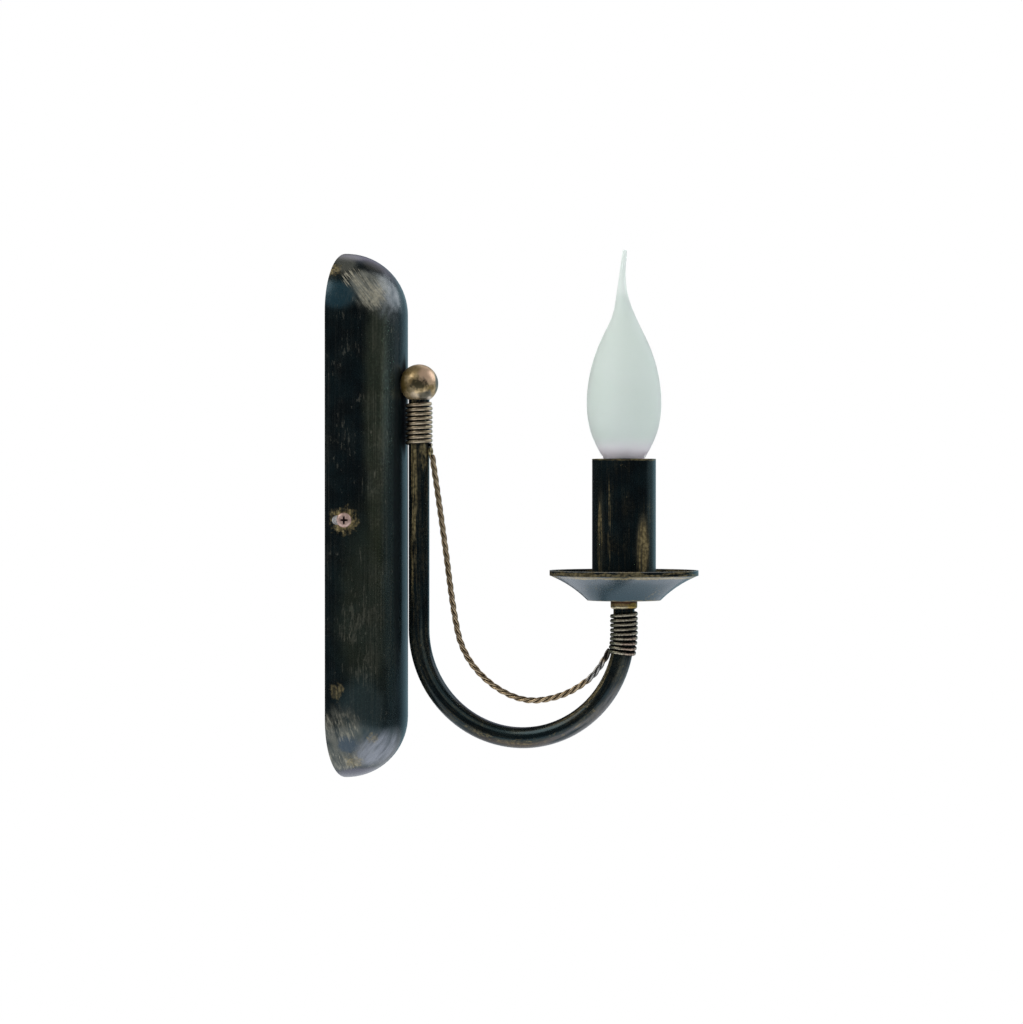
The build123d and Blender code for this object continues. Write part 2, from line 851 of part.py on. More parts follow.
def make_mains_wire(side):
    """A wire from the terminal block through the nipple, ball and arm to the lampholder."""
    offset = side * wire_offset
    entry_y = -nipple_back + wire_bend + wire_diameter
    start = FilletPolyline(
        (side * pole_pitch, pole_y, block_level + wire_diameter),
        (side * pole_pitch, pole_y, ball_level - wire_dip),
        (offset, entry_y, ball_level),
        (offset, arm_y, ball_level),
        (offset, arm_y, bend_z),
        radius=[wire_bend, wire_bend, wire_bend],
    )
    arm = arm_path(ball_level, tube_end, offset)
    terminal_x = side * terminal_offset
    end = FilletPolyline(
        (offset, candle_y, bend_z),
        (offset, candle_y, tube_end),
        (terminal_x, candle_y, terminal_bottom - wire_bend),
        (terminal_x, candle_y, terminal_bottom + terminal_height / 2),
        radius=wire_bend / 2,
    )
    return rod(Wire([*start.edges(), arm[1], *end.edges()]), wire_diameter / 2)


def make_earth_wire():
    path = FilletPolyline(
        (0, pole_y, block_level + wire_diameter),
        (0, pole_y, block_top + wire_diameter / 2),
        (0, lug_axis_y, lug_barrel_top - lug_barrel_length - wire_diameter / 2),
        (0, lug_axis_y, lug_barrel_top - lug_thickness - seat_gap),
        radius=wire_diameter,
    )
    return rod(path.wire(), wire_diameter / 2)


# Every node and its solids
nodes = {
    "canopy_shell": [make_canopy()],
    "wall_bracket": [make_bracket()],
    "canopy_screws": [make_side_screw(side) for side in (-1, 1)],
    "arm_ball": [make_ball()],
    "arm_nipple": [make_nipple()],
    "nipple_washer": [make_nipple_washer()],
    "nipple_nut": [make_nipple_nut()],
    "arm_tube": [make_arm_tube()],
    "upper_winding": [make_winding("upper_winding", straight_station, upper_low)],
    "lower_winding": [make_winding("lower_winding", lamp_station, lower_low)],
    "swag_rope": [make_rope()],
    "rope_eye": [make_rope_eye()],
    "pan_collar": [make_collar()],
    "pan_washer": [make_pan_washer()],
    "drip_pan": [make_drip_pan()],
    "pan_nut": [make_pan_nut()],
    "candle_sleeve": [make_sleeve()],
    "holder_base": [make_holder_base()],
    "holder_body": [make_holder_body()],
    "holder_shell": [make_holder_shell()],
    "holder_contact": [make_holder_contact()],
    "holder_terminals": [make_holder_terminal(side) for side in (-1, 1)],
    "holder_terminal_screws": [make_holder_terminal_screw(side) for side in (-1, 1)],
    "bulb_glass": [make_bulb_glass()],
    "bulb_cap": [make_bulb_cap()],
    "bulb_insulator": [make_bulb_insulator()],
    "bulb_contact": [make_bulb_contact()],
    "bulb_stem": [make_bulb_stem()],
    "bulb_leads": [make_bulb_lead(side) for side in (-1, 1)],
    "bulb_filament": [make_filament()],
    "terminal_block": [make_terminal_block()],
    "terminal_clamps": [make_clamp(pole) for pole in (-1, 0, 1)],
    "terminal_screws": [make_clamp_screw(pole, step) for pole in (-1, 0, 1) for step in (-1, 1)],
    "block_screw": [make_block_screw()],
    "earth_screw": [make_earth_screw()],
    "earth_lug": [make_earth_lug()],
    "live_wire": [make_mains_wire(1)],
    "neutral_wire": [make_mains_wire(-1)],
    "earth_wire": [make_earth_wire()],
}

os.makedirs("parts", exist_ok=True)
for name, solids in nodes.items():
    pieces = [solid for shape in solids for solid in shape.solids()]
    export_step(Compound(children=pieces) if len(pieces) > 1 else pieces[0], f"parts/{name}.step")
    print(name, len(pieces), "solid(s), volume", round(sum(piece.volume for piece in pieces), 1))
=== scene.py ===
# %% [markdown]
# # A candle wall lamp
#
# The lamp is a half-round canopy on a wall, a tube arm that hangs down and bends up like a hook,
# a drip pan, a candle sleeve and a frosted flame bulb. Every rigid piece is already modelled to
# its real size, in metres, with the wall at y = 0 and the room towards -Y. This lesson loads those
# solids, adds the twisted swag and the wire windings as meshes, and gives each piece its finish.

# %% Load the solids
import math

import bpy
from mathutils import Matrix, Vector


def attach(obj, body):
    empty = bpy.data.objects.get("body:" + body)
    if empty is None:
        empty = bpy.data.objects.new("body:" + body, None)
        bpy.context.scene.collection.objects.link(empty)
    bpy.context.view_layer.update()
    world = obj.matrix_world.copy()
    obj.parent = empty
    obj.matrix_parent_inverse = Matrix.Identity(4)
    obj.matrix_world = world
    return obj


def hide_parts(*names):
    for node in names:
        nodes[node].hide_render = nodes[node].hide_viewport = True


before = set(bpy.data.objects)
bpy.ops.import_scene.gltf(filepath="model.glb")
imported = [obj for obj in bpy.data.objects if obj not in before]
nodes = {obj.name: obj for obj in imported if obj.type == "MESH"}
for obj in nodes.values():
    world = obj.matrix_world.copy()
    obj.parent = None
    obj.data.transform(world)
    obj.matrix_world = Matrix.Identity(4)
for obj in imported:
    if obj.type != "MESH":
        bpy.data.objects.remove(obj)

scene = bpy.context.scene
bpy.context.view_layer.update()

# %% [markdown]
# ## Camera
#
# The picture was taken from about a metre and a half away with a long lens, almost along the wall
# and almost level. A camera in Blender looks along its own -Z axis, so it is enough to put it at
# the right distance behind the point it aims at and to turn its -Z axis to that point.

# %% Camera
azimuth = math.radians(-72.0)
elevation = math.radians(0.3)
camera_distance = 1.5
aim = Vector((0.0246, -0.0757, 0.0017))
backwards = Vector((
    math.sin(azimuth) * math.cos(elevation),
    -math.cos(azimuth) * math.cos(elevation),
    math.sin(elevation),
))
camera_data = bpy.data.cameras.new("viewpoint")
camera_data.sensor_width = 36.0
camera_data.lens = 108.96
camera = bpy.data.objects.new("viewpoint", camera_data)
camera.location = aim + backwards * camera_distance
camera.rotation_mode = "QUATERNION"
camera.rotation_quaternion = (-backwards).to_track_quat("-Z", "Y")
scene.collection.objects.link(camera)
scene.camera = camera
scene.view_settings.view_transform = "Standard"
print("camera at", [round(x, 3) for x in camera.location])

# %% [markdown]
# ## Wiring shader nodes
#
# Materials are networks of nodes. A few short helpers keep them readable: one feeds a node's inputs
# with numbers or with other nodes' outputs, one adds a node and feeds it, and the others do the same
# for the kinds of node that are used most.

# %% Node helpers


def feed(tree, node, feeds):
    """Feed a node's inputs with values or with other nodes' outputs."""
    for name, value in feeds.items():
        if isinstance(value, bpy.types.NodeSocket):
            tree.links.new(value, node.inputs[name])
        else:
            node.inputs[name].default_value = value


def put(tree, kind, feeds=None, **settings):
    """Add a node, change its settings and feed its inputs."""
    node = tree.nodes.new(kind)
    for name, value in settings.items():
        setattr(node, name, value)
    feed(tree, node, feeds or {})
    return node


def calc(tree, operation, *terms):
    """The output of one Math node."""
    return put(tree, "ShaderNodeMath", dict(enumerate(terms)), operation=operation).outputs[0]


def vector_calc(tree, operation, *terms, scale=None):
    """The output of one Vector Math node."""
    feeds = dict(enumerate(terms))
    if scale is not None:
        feeds["Scale"] = scale
    node = put(tree, "ShaderNodeVectorMath", feeds, operation=operation)
    return node.outputs["Value" if operation in ("DOT_PRODUCT", "LENGTH") else "Vector"]


def ramp(tree, value, low, high, to_low=0.0, to_high=1.0):
    """A value mapped from one range to another, eased at both ends."""
    feeds = {"Value": value, "From Min": low, "From Max": high, "To Min": to_low, "To Max": to_high}
    return put(tree, "ShaderNodeMapRange", feeds, interpolation_type="SMOOTHSTEP").outputs["Result"]


def blend_colours(tree, factor, first, second):
    """A mix of two colours, each a constant or a socket."""
    colours = [(*colour, 1) if isinstance(colour, tuple) else colour for colour in (first, second)]
    feeds = {0: factor, 6: colours[0], 7: colours[1]}
    return put(tree, "ShaderNodeMix", feeds, data_type="RGBA").outputs[2]


def noise(tree, vector, scale, detail=3.0, roughness=0.6):
    """The output of one Noise Texture node."""
    feeds = {"Vector": vector, "Scale": scale, "Detail": detail, "Roughness": roughness}
    return put(tree, "ShaderNodeTexNoise", feeds).outputs["Fac"]


def seen_directly(tree):
    """1 for rays from the camera or through glass, which see the plain white of the studio."""
    rays = put(tree, "ShaderNodeLightPath").outputs
    return calc(tree, "MAXIMUM", rays["Is Camera Ray"], rays["Is Transmission Ray"])


print("node helpers ready")

# %% [markdown]
# ## Studio
#
# The lamp was photographed before a white cove, on a white floor, with the room behind the camera
# left dark. Satin black metal shows its surroundings, so that dark room is what makes it look black.
# The cove draws pale lines along its far edges, and a violet patch of ceiling tints its upper ones.
# The world paints these for reflections. The camera and the glass see plain white, and everything
# else gets an even, pale light. Two large soft lamps add direction: one above on the left, and one
# beyond the lamp on the right.

# %% World
image_right = Vector((math.cos(azimuth), math.sin(azimuth), 0))
camera_side = Vector((backwards.x, backwards.y, 0)).normalized()
cove_side = (image_right * 0.5 - camera_side * 0.866).normalized()
ceiling_side = (image_right * 0.2 + Vector((0, 0, 0.6)) - camera_side * 0.75).normalized()
white = (1.0, 1.0, 1.0)
even_light = (0.72, 0.73, 0.74)
dark_room = (0.022, 0.024, 0.028)
pale_cove = (0.24, 0.39, 0.46)
violet_ceiling = (0.46, 0.45, 0.55)


def build_world():
    world = bpy.data.worlds.new("studio")
    scene.world = world
    world.use_nodes = True
    tree = world.node_tree
    tree.nodes.clear()
    direction = put(tree, "ShaderNodeTexCoord").outputs["Generated"]
    to_cove = vector_calc(tree, "DOT_PRODUCT", direction, tuple(cove_side))
    room = blend_colours(tree, ramp(tree, to_cove, 0.78, 0.99), dark_room, pale_cove)
    to_ceiling = vector_calc(tree, "DOT_PRODUCT", direction, tuple(ceiling_side))
    room = blend_colours(tree, ramp(tree, to_ceiling, 0.90, 0.99), room, violet_ceiling)
    glossy = put(tree, "ShaderNodeLightPath").outputs["Is Glossy Ray"]
    light = blend_colours(tree, glossy, even_light, room)
    seen = blend_colours(tree, seen_directly(tree), light, white)
    background = put(tree, "ShaderNodeBackground", {"Color": seen, "Strength": 1.0})
    put(tree, "ShaderNodeOutputWorld", {"Surface": background.outputs[0]})


build_world()
print("world:", scene.world.name)

# %% Lamps


def soft_light(name, right, up, near, distance, size, power, colour):
    """A round soft lamp, placed by its direction from the object as the camera sees it."""
    light = bpy.data.lights.new(name, "AREA")
    light.shape = "DISK"
    light.size = size
    light.energy = power
    light.color = colour
    item = bpy.data.objects.new(name, light)
    item.location = aim + (image_right * right + Vector((0, 0, up)) + camera_side * near) * distance
    item.rotation_mode = "QUATERNION"
    item.rotation_quaternion = (aim - item.location).to_track_quat("-Z", "Y")
    scene.collection.objects.link(item)


soft_light(
    "upper_softbox", right=-0.70, up=0.66, near=0.27,
    distance=1.4, size=1.0, power=5.5, colour=(1.0, 0.97, 0.92),
)
soft_light(
    "far_softbox", right=0.79, up=0.52, near=-0.33,
    distance=1.6, size=1.2, power=5.0, colour=(0.92, 0.93, 1.0),
)

# %% Floor
floor_half = 1.3
floor_level = -0.5
floor_white = (0.82, 0.85, 0.90, 1)
floor_glow = 0.5


def build_floor():
    signs = [(-1, -1), (1, -1), (1, 1), (-1, 1)]
    corners = [(x * floor_half, y * floor_half, floor_level) for x, y in signs]
    mesh = bpy.data.meshes.new("floor")
    mesh.from_pydata(corners, [], [(0, 1, 2, 3)])
    floor = bpy.data.objects.new("floor", mesh)
    scene.collection.objects.link(floor)
    material = bpy.data.materials.new("floor_white")
    material.use_nodes = True
    tree = material.node_tree
    tree.nodes.clear()
    diffuse = put(tree, "ShaderNodeBsdfDiffuse", {"Color": floor_white})
    strength = calc(tree, "MULTIPLY", seen_directly(tree), floor_glow)
    glow = put(tree, "ShaderNodeEmission", {"Strength": strength})
    both = put(tree, "ShaderNodeAddShader", {0: diffuse.outputs[0], 1: glow.outputs[0]})
    put(tree, "ShaderNodeOutputMaterial", {"Surface": both.outputs[0]})
    mesh.materials.append(material)


build_floor()
print("floor ready")

# %% [markdown]
# ## Round wires as meshes
#
# The swag's strands and the windings are all round wire that follows a line. A curve with a bevel
# would do, but a mesh made ring by ring can also carry a value for each point: how far it stands out
# from the core that it is wound on. The finish uses that value to keep the crests bright and the
# grooves dark, as a wiped patina does.

# %% Round wire


def round_wire(line, cores, axes, radius, sides, flatten=1.0):
    """Points, faces and crest values of a wire with domed ends, which flatten widens along its core."""
    count = len(line)
    tangents = []
    for i in range(count):
        tangents.append((line[min(i + 1, count - 1)] - line[max(i - 1, 0)]).normalized())
    side = tangents[0].orthogonal().normalized()
    rings = []
    for i in range(count):
        side = (side - tangents[i] * side.dot(tangents[i])).normalized()
        rings.append((i, 0.0, 1.0, side.copy()))
    # Two shrinking rings at each end: how far out, and their share of the radius
    domes = [(0.55, 0.84), (0.85, 0.53)]
    start = [(0, -reach, share, rings[0][3]) for reach, share in reversed(domes)]
    end = [(count - 1, reach, share, rings[-1][3]) for reach, share in domes]
    points, crests = [], []
    for i, reach, share, across in start + rings + end:
        other = tangents[i].cross(across)
        middle = line[i] + tangents[i] * (reach * radius)
        for k in range(sides):
            turn = 2 * math.pi * k / sides
            spoke = (across * math.cos(turn) + other * math.sin(turn)) * (radius * share)
            point = middle + spoke + axes[i] * (spoke.dot(axes[i]) * (flatten - 1))
            offset = point - cores[i]
            points.append(point)
            crests.append((offset - axes[i] * offset.dot(axes[i])).length)
    total = len(points) // sides
    faces = []
    for ring in range(total - 1):
        for k in range(sides):
            a, b = ring * sides + k, ring * sides + (k + 1) % sides
            faces.append((a, b, b + sides, a + sides))
    faces.append(tuple(reversed(range(sides))))
    faces.append(tuple(range((total - 1) * sides, total * sides)))
    return points, faces, crests


def wire_object(name, wires):
    """One mesh object of several round wires, with the crest values stored on its points."""
    points, faces, crests = [], [], []
    for part_points, part_faces, part_crests in wires:
        start = len(points)
        points += part_points
        faces += [tuple(start + i for i in face) for face in part_faces]
        crests += part_crests
    low, high = min(crests), max(crests)
    mesh = bpy.data.meshes.new(name)
    mesh.from_pydata(points, [], faces)
    crest = mesh.attributes.new("crest", "FLOAT", "POINT")
    crest.data.foreach_set("value", [(value - low) / (high - low) for value in crests])
    mesh.polygons.foreach_set("use_smooth", [True] * len(mesh.polygons))
    item = bpy.data.objects.new(name, mesh)
    scene.collection.objects.link(item)
    print(name, len(points), "points")
    return item


print("wire helpers ready")

# %% [markdown]
# ## The twisted swag
#
# Three wires twisted together hang in a curve from a small eye under the upper winding to the foot of
# the lower one. The route is a smooth curve through the listed points of the solid. Blender
# works out the curve, and the strands then wind round its points, a third of a turn apart. The lay is
# left-handed: its crests fall from left to right on the upright stretch.

# %% Swag route
swag_route = [
    (0, -0.04374, 0.02858),
    (0, -0.04941, -0.00762),
    (0, -0.05434, -0.04512),
    (0, -0.05877, -0.06505),
    (0, -0.07208, -0.08033),
    (0, -0.09032, -0.08871),
    (0, -0.10807, -0.08575),
    (0, -0.12040, -0.07885),
    (0, -0.12730, -0.07195),
    (0, -0.13220, -0.06330),
]


def smooth_line(name, route, resolution):
    """The points of a smooth curve that the route's points pull on."""
    curve = bpy.data.curves.new(name, "CURVE")
    curve.dimensions = "3D"
    curve.resolution_u = resolution
    spline = curve.splines.new("NURBS")
    spline.points.add(len(route) - 1)
    for point, place in zip(spline.points, route):
        point.co = (*place, 1)
    spline.order_u = 3
    spline.use_endpoint_u = True
    holder = bpy.data.objects.new(name, curve)
    mesh = bpy.data.meshes.new_from_object(holder)
    line = [vertex.co.copy() for vertex in mesh.vertices]
    bpy.data.meshes.remove(mesh)
    bpy.data.curves.remove(curve)
    return line


swag_line = smooth_line("swag_route", swag_route, resolution=60)
swag_length = sum((b - a).length for a, b in zip(swag_line, swag_line[1:]))
print("swag:", len(swag_line), "points,", round(swag_length * 1000, 1), "mm")

# %% Swag strands
strand_count = 3
strand_radius = 0.00070
strand_offset = 0.00080
strand_sides = 12
swag_lay = 0.0141


def strand(phase):
    """One wire of the swag, which starts at the angle phase and winds once round in each lay."""
    across = Vector((1, 0, 0))
    line, axes = [], []
    gone = 0.0
    for i, point in enumerate(swag_line):
        before, after = swag_line[max(i - 1, 0)], swag_line[min(i + 1, len(swag_line) - 1)]
        axis = (after - before).normalized()
        if i:
            gone += (point - swag_line[i - 1]).length
        turn = phase - 2 * math.pi * gone / swag_lay
        other = axis.cross(across)
        line.append(point + (across * math.cos(turn) + other * math.sin(turn)) * strand_offset)
        axes.append(axis)
    return round_wire(line, swag_line, axes, strand_radius, strand_sides)


swag = wire_object("swag", [strand(2 * math.pi * k / strand_count) for k in range(strand_count)])
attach(swag, "fixture")
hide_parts("swag_rope")
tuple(swag_route[0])

# %% [markdown]
# ## The windings
#
# Under the ball and under the pan the tube is wound with nine turns of wire. The lower winding
# follows the start of the bend, so a plain helix isn't enough: each point asks for the middle line of
# the arm at its own height, and goes round it there. It starts at the side, so that both its ends
# lie out of sight. Hand-wound turns are never quite even, so the rise wavers by a few hundredths of
# a millimetre.

# %% Windings
arm_y = -0.03701
candle_y = -0.1393
bend_z = -0.0543
bend_radius = (arm_y - candle_y) / 2
bend_y = arm_y - bend_radius
winding_radius = 0.0058
winding_wire = 0.00075
winding_flatten = 1.25
winding_pitch = 0.0022
winding_turns = 9
winding_steps = 40
winding_sides = 16
wavers = [(0.00004, 2.3, 0.0), (0.00003, 5.1, 1.0)]


def upright_station(rise):
    """Middle of the tube and the direction into the room, by the height above the bend."""
    return Vector((0, arm_y, bend_z + rise)), Vector((0, -1, 0))


def lamp_station(rise):
    """The same at the lamp end of the arm, which bends where rise is negative."""
    if rise >= 0:
        return Vector((0, candle_y, bend_z + rise)), Vector((0, -1, 0))
    angle = -rise / bend_radius
    outward = Vector((0, -math.cos(angle), -math.sin(angle)))
    return Vector((0, bend_y, bend_z)) + outward * bend_radius, outward


def winding(name, station, low, start):
    """A helix of wire that begins at the angle start, counted from the room side."""
    across = Vector((1, 0, 0))
    line, cores, axes = [], [], []
    for step in range(winding_turns * winding_steps + 1):
        turn = step / winding_steps
        waver = sum(size * math.sin(rate * turn + shift) for size, rate, shift in wavers)
        core, outward = station(low + turn * winding_pitch + waver)
        angle = start + 2 * math.pi * turn
        line.append(core + (outward * math.cos(angle) + across * math.sin(angle)) * winding_radius)
        cores.append(core)
        axes.append(outward.cross(across))
    wire = round_wire(line, cores, axes, winding_wire, winding_sides, winding_flatten)
    item = wire_object(name, [wire])
    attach(item, "fixture")
    return item


upper_turns = winding("upper_turns", upright_station, low=0.0881, start=0.0)
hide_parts("upper_winding")
lower_turns = winding("lower_turns", lamp_station, low=-0.0110, start=math.pi / 2)
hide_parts("lower_winding")

# %% [markdown]
# ## Shared effects
#
# Several finishes need the same effects, so each is a node group that is built once: streaks of a nearly
# dry brush within a zone, which also make painted sheens, a cloudy mottle, a ragged patch at a chosen
# place, for wear and also for painted highlights, reflections and shade, and a ragged band between two
# heights. One more group straightens the arm: it gives the distance along the tube and the offset from its
# middle line, so that strokes can follow the bend.

# %% Group helper


def new_group(name, inputs, outputs):
    """An empty node group with named sockets."""
    print("group", name, "with", len(inputs), "inputs")
    tree = bpy.data.node_groups.new(name, "ShaderNodeTree")
    for label, kind, value in inputs:
        socket = tree.interface.new_socket(label, in_out="INPUT", socket_type="NodeSocket" + kind)
        if value is not None:
            socket.default_value = value
    for label, kind in outputs:
        tree.interface.new_socket(label, in_out="OUTPUT", socket_type="NodeSocket" + kind)
    return tree, put(tree, "NodeGroupInput").outputs, put(tree, "NodeGroupOutput").inputs


def place_group(tree, group, feeds):
    """The outputs of a group that is placed in a material."""
    return put(tree, "ShaderNodeGroup", feeds, node_tree=group).outputs


print("group helpers ready")

# %% Brush streaks, also for painted sheen


def build_brush_and_sheen_streaks():
    tree, given, result = new_group(
        "brush_and_sheen_streaks",
        [
            ("Vector", "Vector", None),
            ("Zone", "Vector", None),
            ("Direction", "Vector", (0, 0, 1)),
            ("Depth", "Vector", (0, 0, 0)),
            ("Across", "Float", 900.0),
            ("Along", "Float", 40.0),
            ("Threshold", "Float", 0.6),
            ("Soft", "Float", 0.1),
            ("Centre", "Vector", (0, 0, 0)),
            ("Size", "Vector", (9, 9, 9)),
            ("Strength", "Float", 1.0),
        ],
        [("Mask", "Float"), ("Bristles", "Float")],
    )
    # Bristles: noise that is drawn out along the stroke, on the surface seen along Depth
    sunk = vector_calc(tree, "DOT_PRODUCT", given["Vector"], given["Depth"])
    inward = vector_calc(tree, "SCALE", given["Depth"], scale=sunk)
    flat = vector_calc(tree, "SUBTRACT", given["Vector"], inward)
    length = vector_calc(tree, "DOT_PRODUCT", flat, given["Direction"])
    along = vector_calc(tree, "SCALE", given["Direction"], scale=length)
    across = vector_calc(tree, "SUBTRACT", flat, along)
    thin = vector_calc(tree, "SCALE", across, scale=given["Across"])
    drawn = vector_calc(tree, "SCALE", along, scale=given["Along"])
    bristles = noise(tree, vector_calc(tree, "ADD", thin, drawn), 1.0)
    # Zone: 1 near the centre and 0 outside, with a cloudy edge
    clouds = calc(tree, "SUBTRACT", noise(tree, given["Vector"], 70.0, detail=2.0, roughness=0.5), 0.5)
    offset = vector_calc(tree, "SUBTRACT", given["Zone"], given["Centre"])
    distance = vector_calc(tree, "LENGTH", vector_calc(tree, "DIVIDE", offset, given["Size"]))
    zone = ramp(tree, calc(tree, "MULTIPLY_ADD", clouds, 0.8, distance), 0.45, 1.1, 1.0, 0.0)
    # The brush presses less at the edge of its zone and between the clouds
    lifted = calc(tree, "SUBTRACT", zone, 1.0)
    pressure = calc(tree, "MULTIPLY_ADD", lifted, 0.2, calc(tree, "MULTIPLY", clouds, 0.5))
    total = calc(tree, "ADD", bristles, pressure)
    low = calc(tree, "SUBTRACT", given["Threshold"], given["Soft"])
    high = calc(tree, "ADD", given["Threshold"], given["Soft"])
    stroke = calc(tree, "MULTIPLY", ramp(tree, total, low, high), zone)
    tree.links.new(calc(tree, "MULTIPLY", stroke, given["Strength"]), result["Mask"])
    tree.links.new(bristles, result["Bristles"])
    return tree


brush_and_sheen_streaks = build_brush_and_sheen_streaks()

# %% Mottle


def build_mottle():
    tree, given, result = new_group(
        "mottle",
        [("Vector", "Vector", None), ("Scale", "Float", 120.0)],
        [("Clouds", "Float"), ("Grain", "Float")],
    )
    clouds = noise(tree, given["Vector"], given["Scale"], detail=4.0, roughness=0.55)
    tree.links.new(ramp(tree, clouds, 0.3, 0.7), result["Clouds"])
    fine = calc(tree, "MULTIPLY", given["Scale"], 6.0)
    tree.links.new(noise(tree, given["Vector"], fine), result["Grain"])
    return tree


mottle = build_mottle()

# %% Patch of wear and painted light, and level band


def build_patch():
    tree, given, result = new_group(
        "wear_and_light_patch",
        [
            ("Vector", "Vector", None),
            ("Zone", "Vector", None),
            ("Centre", "Vector", (0, 0, 0)),
            ("Size", "Vector", (0.005, 0.005, 0.005)),
            ("Ragged", "Float", 0.5),
            ("Scale", "Float", 500.0),
            ("Strength", "Float", 1.0),
        ],
        [("Mask", "Float")],
    )
    offset = vector_calc(tree, "SUBTRACT", given["Zone"], given["Centre"])
    distance = vector_calc(tree, "LENGTH", vector_calc(tree, "DIVIDE", offset, given["Size"]))
    torn = noise(tree, given["Vector"], given["Scale"])
    edge = calc(tree, "MULTIPLY", calc(tree, "SUBTRACT", torn, 0.5), given["Ragged"])
    total = calc(tree, "MULTIPLY_ADD", edge, 4.0, distance)
    inside = ramp(tree, total, 0.5, 1.1, 1.0, 0.0)
    tree.links.new(calc(tree, "MULTIPLY", inside, given["Strength"]), result["Mask"])
    return tree


def build_band():
    tree, given, result = new_group(
        "level_band",
        [
            ("Vector", "Vector", None),
            ("Low", "Float", 0.0),
            ("High", "Float", 0.01),
            ("Soft", "Float", 0.0004),
            ("Ragged", "Float", 0.001),
            ("Scale", "Float", 300.0),
            ("Strength", "Float", 1.0),
        ],
        [("Mask", "Float")],
    )
    height = put(tree, "ShaderNodeSeparateXYZ", {"Vector": given["Vector"]}).outputs["Z"]
    torn = calc(tree, "SUBTRACT", noise(tree, given["Vector"], given["Scale"]), 0.5)
    level = calc(tree, "MULTIPLY_ADD", torn, given["Ragged"], height)
    above = ramp(tree, calc(tree, "SUBTRACT", level, given["Low"]), 0.0, given["Soft"])
    below = ramp(tree, calc(tree, "SUBTRACT", given["High"], level), 0.0, given["Soft"])
    inside = calc(tree, "MULTIPLY", above, below)
    tree.links.new(calc(tree, "MULTIPLY", inside, given["Strength"]), result["Mask"])
    return tree


wear_and_light_patch = build_patch()
level_band = build_band()

# %% Arm coordinates


def build_arm_line():
    tree, given, result = new_group("arm_line", [("Vector", "Vector", None)], [("Vector", "Vector")])
    parts = put(tree, "ShaderNodeSeparateXYZ", {"Vector": given["Vector"]}).outputs
    out = calc(tree, "SUBTRACT", parts["Y"], bend_y)
    rise = calc(tree, "SUBTRACT", parts["Z"], bend_z)
    sunk = calc(tree, "MAXIMUM", calc(tree, "MULTIPLY", rise, -1.0), 0.0)
    high = calc(tree, "MAXIMUM", rise, 0.0)
    squares = calc(tree, "ADD", calc(tree, "MULTIPLY", out, out), calc(tree, "MULTIPLY", sunk, sunk))
    outward = calc(tree, "SUBTRACT", calc(tree, "SQRT", squares), bend_radius)
    turn = calc(tree, "ARCTAN2", sunk, out)
    straight = calc(tree, "MULTIPLY", high, calc(tree, "SIGN", out))
    along = calc(tree, "SUBTRACT", straight, calc(tree, "MULTIPLY", turn, bend_radius))
    line = put(tree, "ShaderNodeCombineXYZ", {"X": parts["X"], "Y": outward, "Z": along})
    tree.links.new(line.outputs[0], result["Vector"])
    return tree


arm_line = build_arm_line()

# %% [markdown]
# ## Dark patina
#
# The canopy, arm, pan and sleeve are steel with a satin blue-black lacquer, over which bronze paint was
# dragged with an almost dry brush. The lacquer is a dark, mostly metallic surface under a clear coat. Thin
# veils of colour lie on it where it was rubbed or stained, and others are painted sheens, highlights and
# reflections. A dark, matt painted shade lies beside the ball, the upper winding and the tube. The bronze
# is mixed in by masks: faint strokes along the whole piece, stronger ones in zones, and dabs where a maker
# pressed harder.

# %% Patina material
lacquer_black = (0.015, 0.024, 0.028)
lacquer_teal = (0.021, 0.042, 0.048)
# Colour of the painted shade beside the ball, the upper winding and the tube
painted_shade_black = (0.006, 0.007, 0.009)
gold_paint = ((0.150, 0.112, 0.042), (0.52, 0.41, 0.19))
grey_gold_paint = ((0.34, 0.32, 0.245), (0.58, 0.545, 0.42))
lacquer_metal, paint_metal = 0.85, 0.45
satin = (0.24, 0.29)
coat_weight, coat_rough = 0.25, 0.16
paint_roughens, painted_shade_roughens = 0.2, 0.65
dab_across = 1300.0
smear_stretch, smear_scale = (1.0, 1.0, 7.0), 130.0


def new_material(name, mottle_scale, along_arm=False):
    """A material with its nodes and shader, the place on its piece, and a mottle there."""
    material = bpy.data.materials.new(name)
    material.use_nodes = True
    tree = material.node_tree
    place = put(tree, "ShaderNodeTexCoord").outputs["Object"]
    if along_arm:
        place = place_group(tree, arm_line, {"Vector": place})["Vector"]
    cloud = place_group(tree, mottle, {"Vector": place, "Scale": mottle_scale})
    return material, tree, tree.nodes["Principled BSDF"], place, cloud


def grainy(tree, cloud, low, high):
    """A value from low to high that follows the grain of a mottle."""
    return ramp(tree, cloud["Grain"], 0.3, 0.7, low, high)


def near_side(tree, place):
    """The same place with its X turned to the near side, so that a zone counts on both sides."""
    parts = put(tree, "ShaderNodeSeparateXYZ", {"Vector": place}).outputs
    near = calc(tree, "MULTIPLY", calc(tree, "ABSOLUTE", parts["X"]), -1.0)
    return put(tree, "ShaderNodeCombineXYZ", {"X": near, "Y": parts["Y"], "Z": parts["Z"]}).outputs[0]


def mask_maker(tree, place):
    """A function that gives the mask of some settings, from the group that has their inputs."""
    zone = near_side(tree, place)

    def mask(values):
        group = brush_and_sheen_streaks if "Across" in values else level_band if "Low" in values else wear_and_light_patch
        where = {"Vector": zone if "Depth" in values else place}
        if group is not level_band:
            where["Zone"] = zone
        return place_group(tree, group, {**where, **values})["Mask"]

    return mask


def bump(tree, height, depth, strength):
    """A normal that follows a height over the surface."""
    feeds = {"Height": height, "Distance": depth, "Strength": strength}
    return put(tree, "ShaderNodeBump", feeds).outputs["Normal"]


def largest(tree, masks):
    """The greatest of several masks."""
    total = masks[0]
    for mask in masks[1:]:
        total = calc(tree, "MAXIMUM", total, mask)
    return total


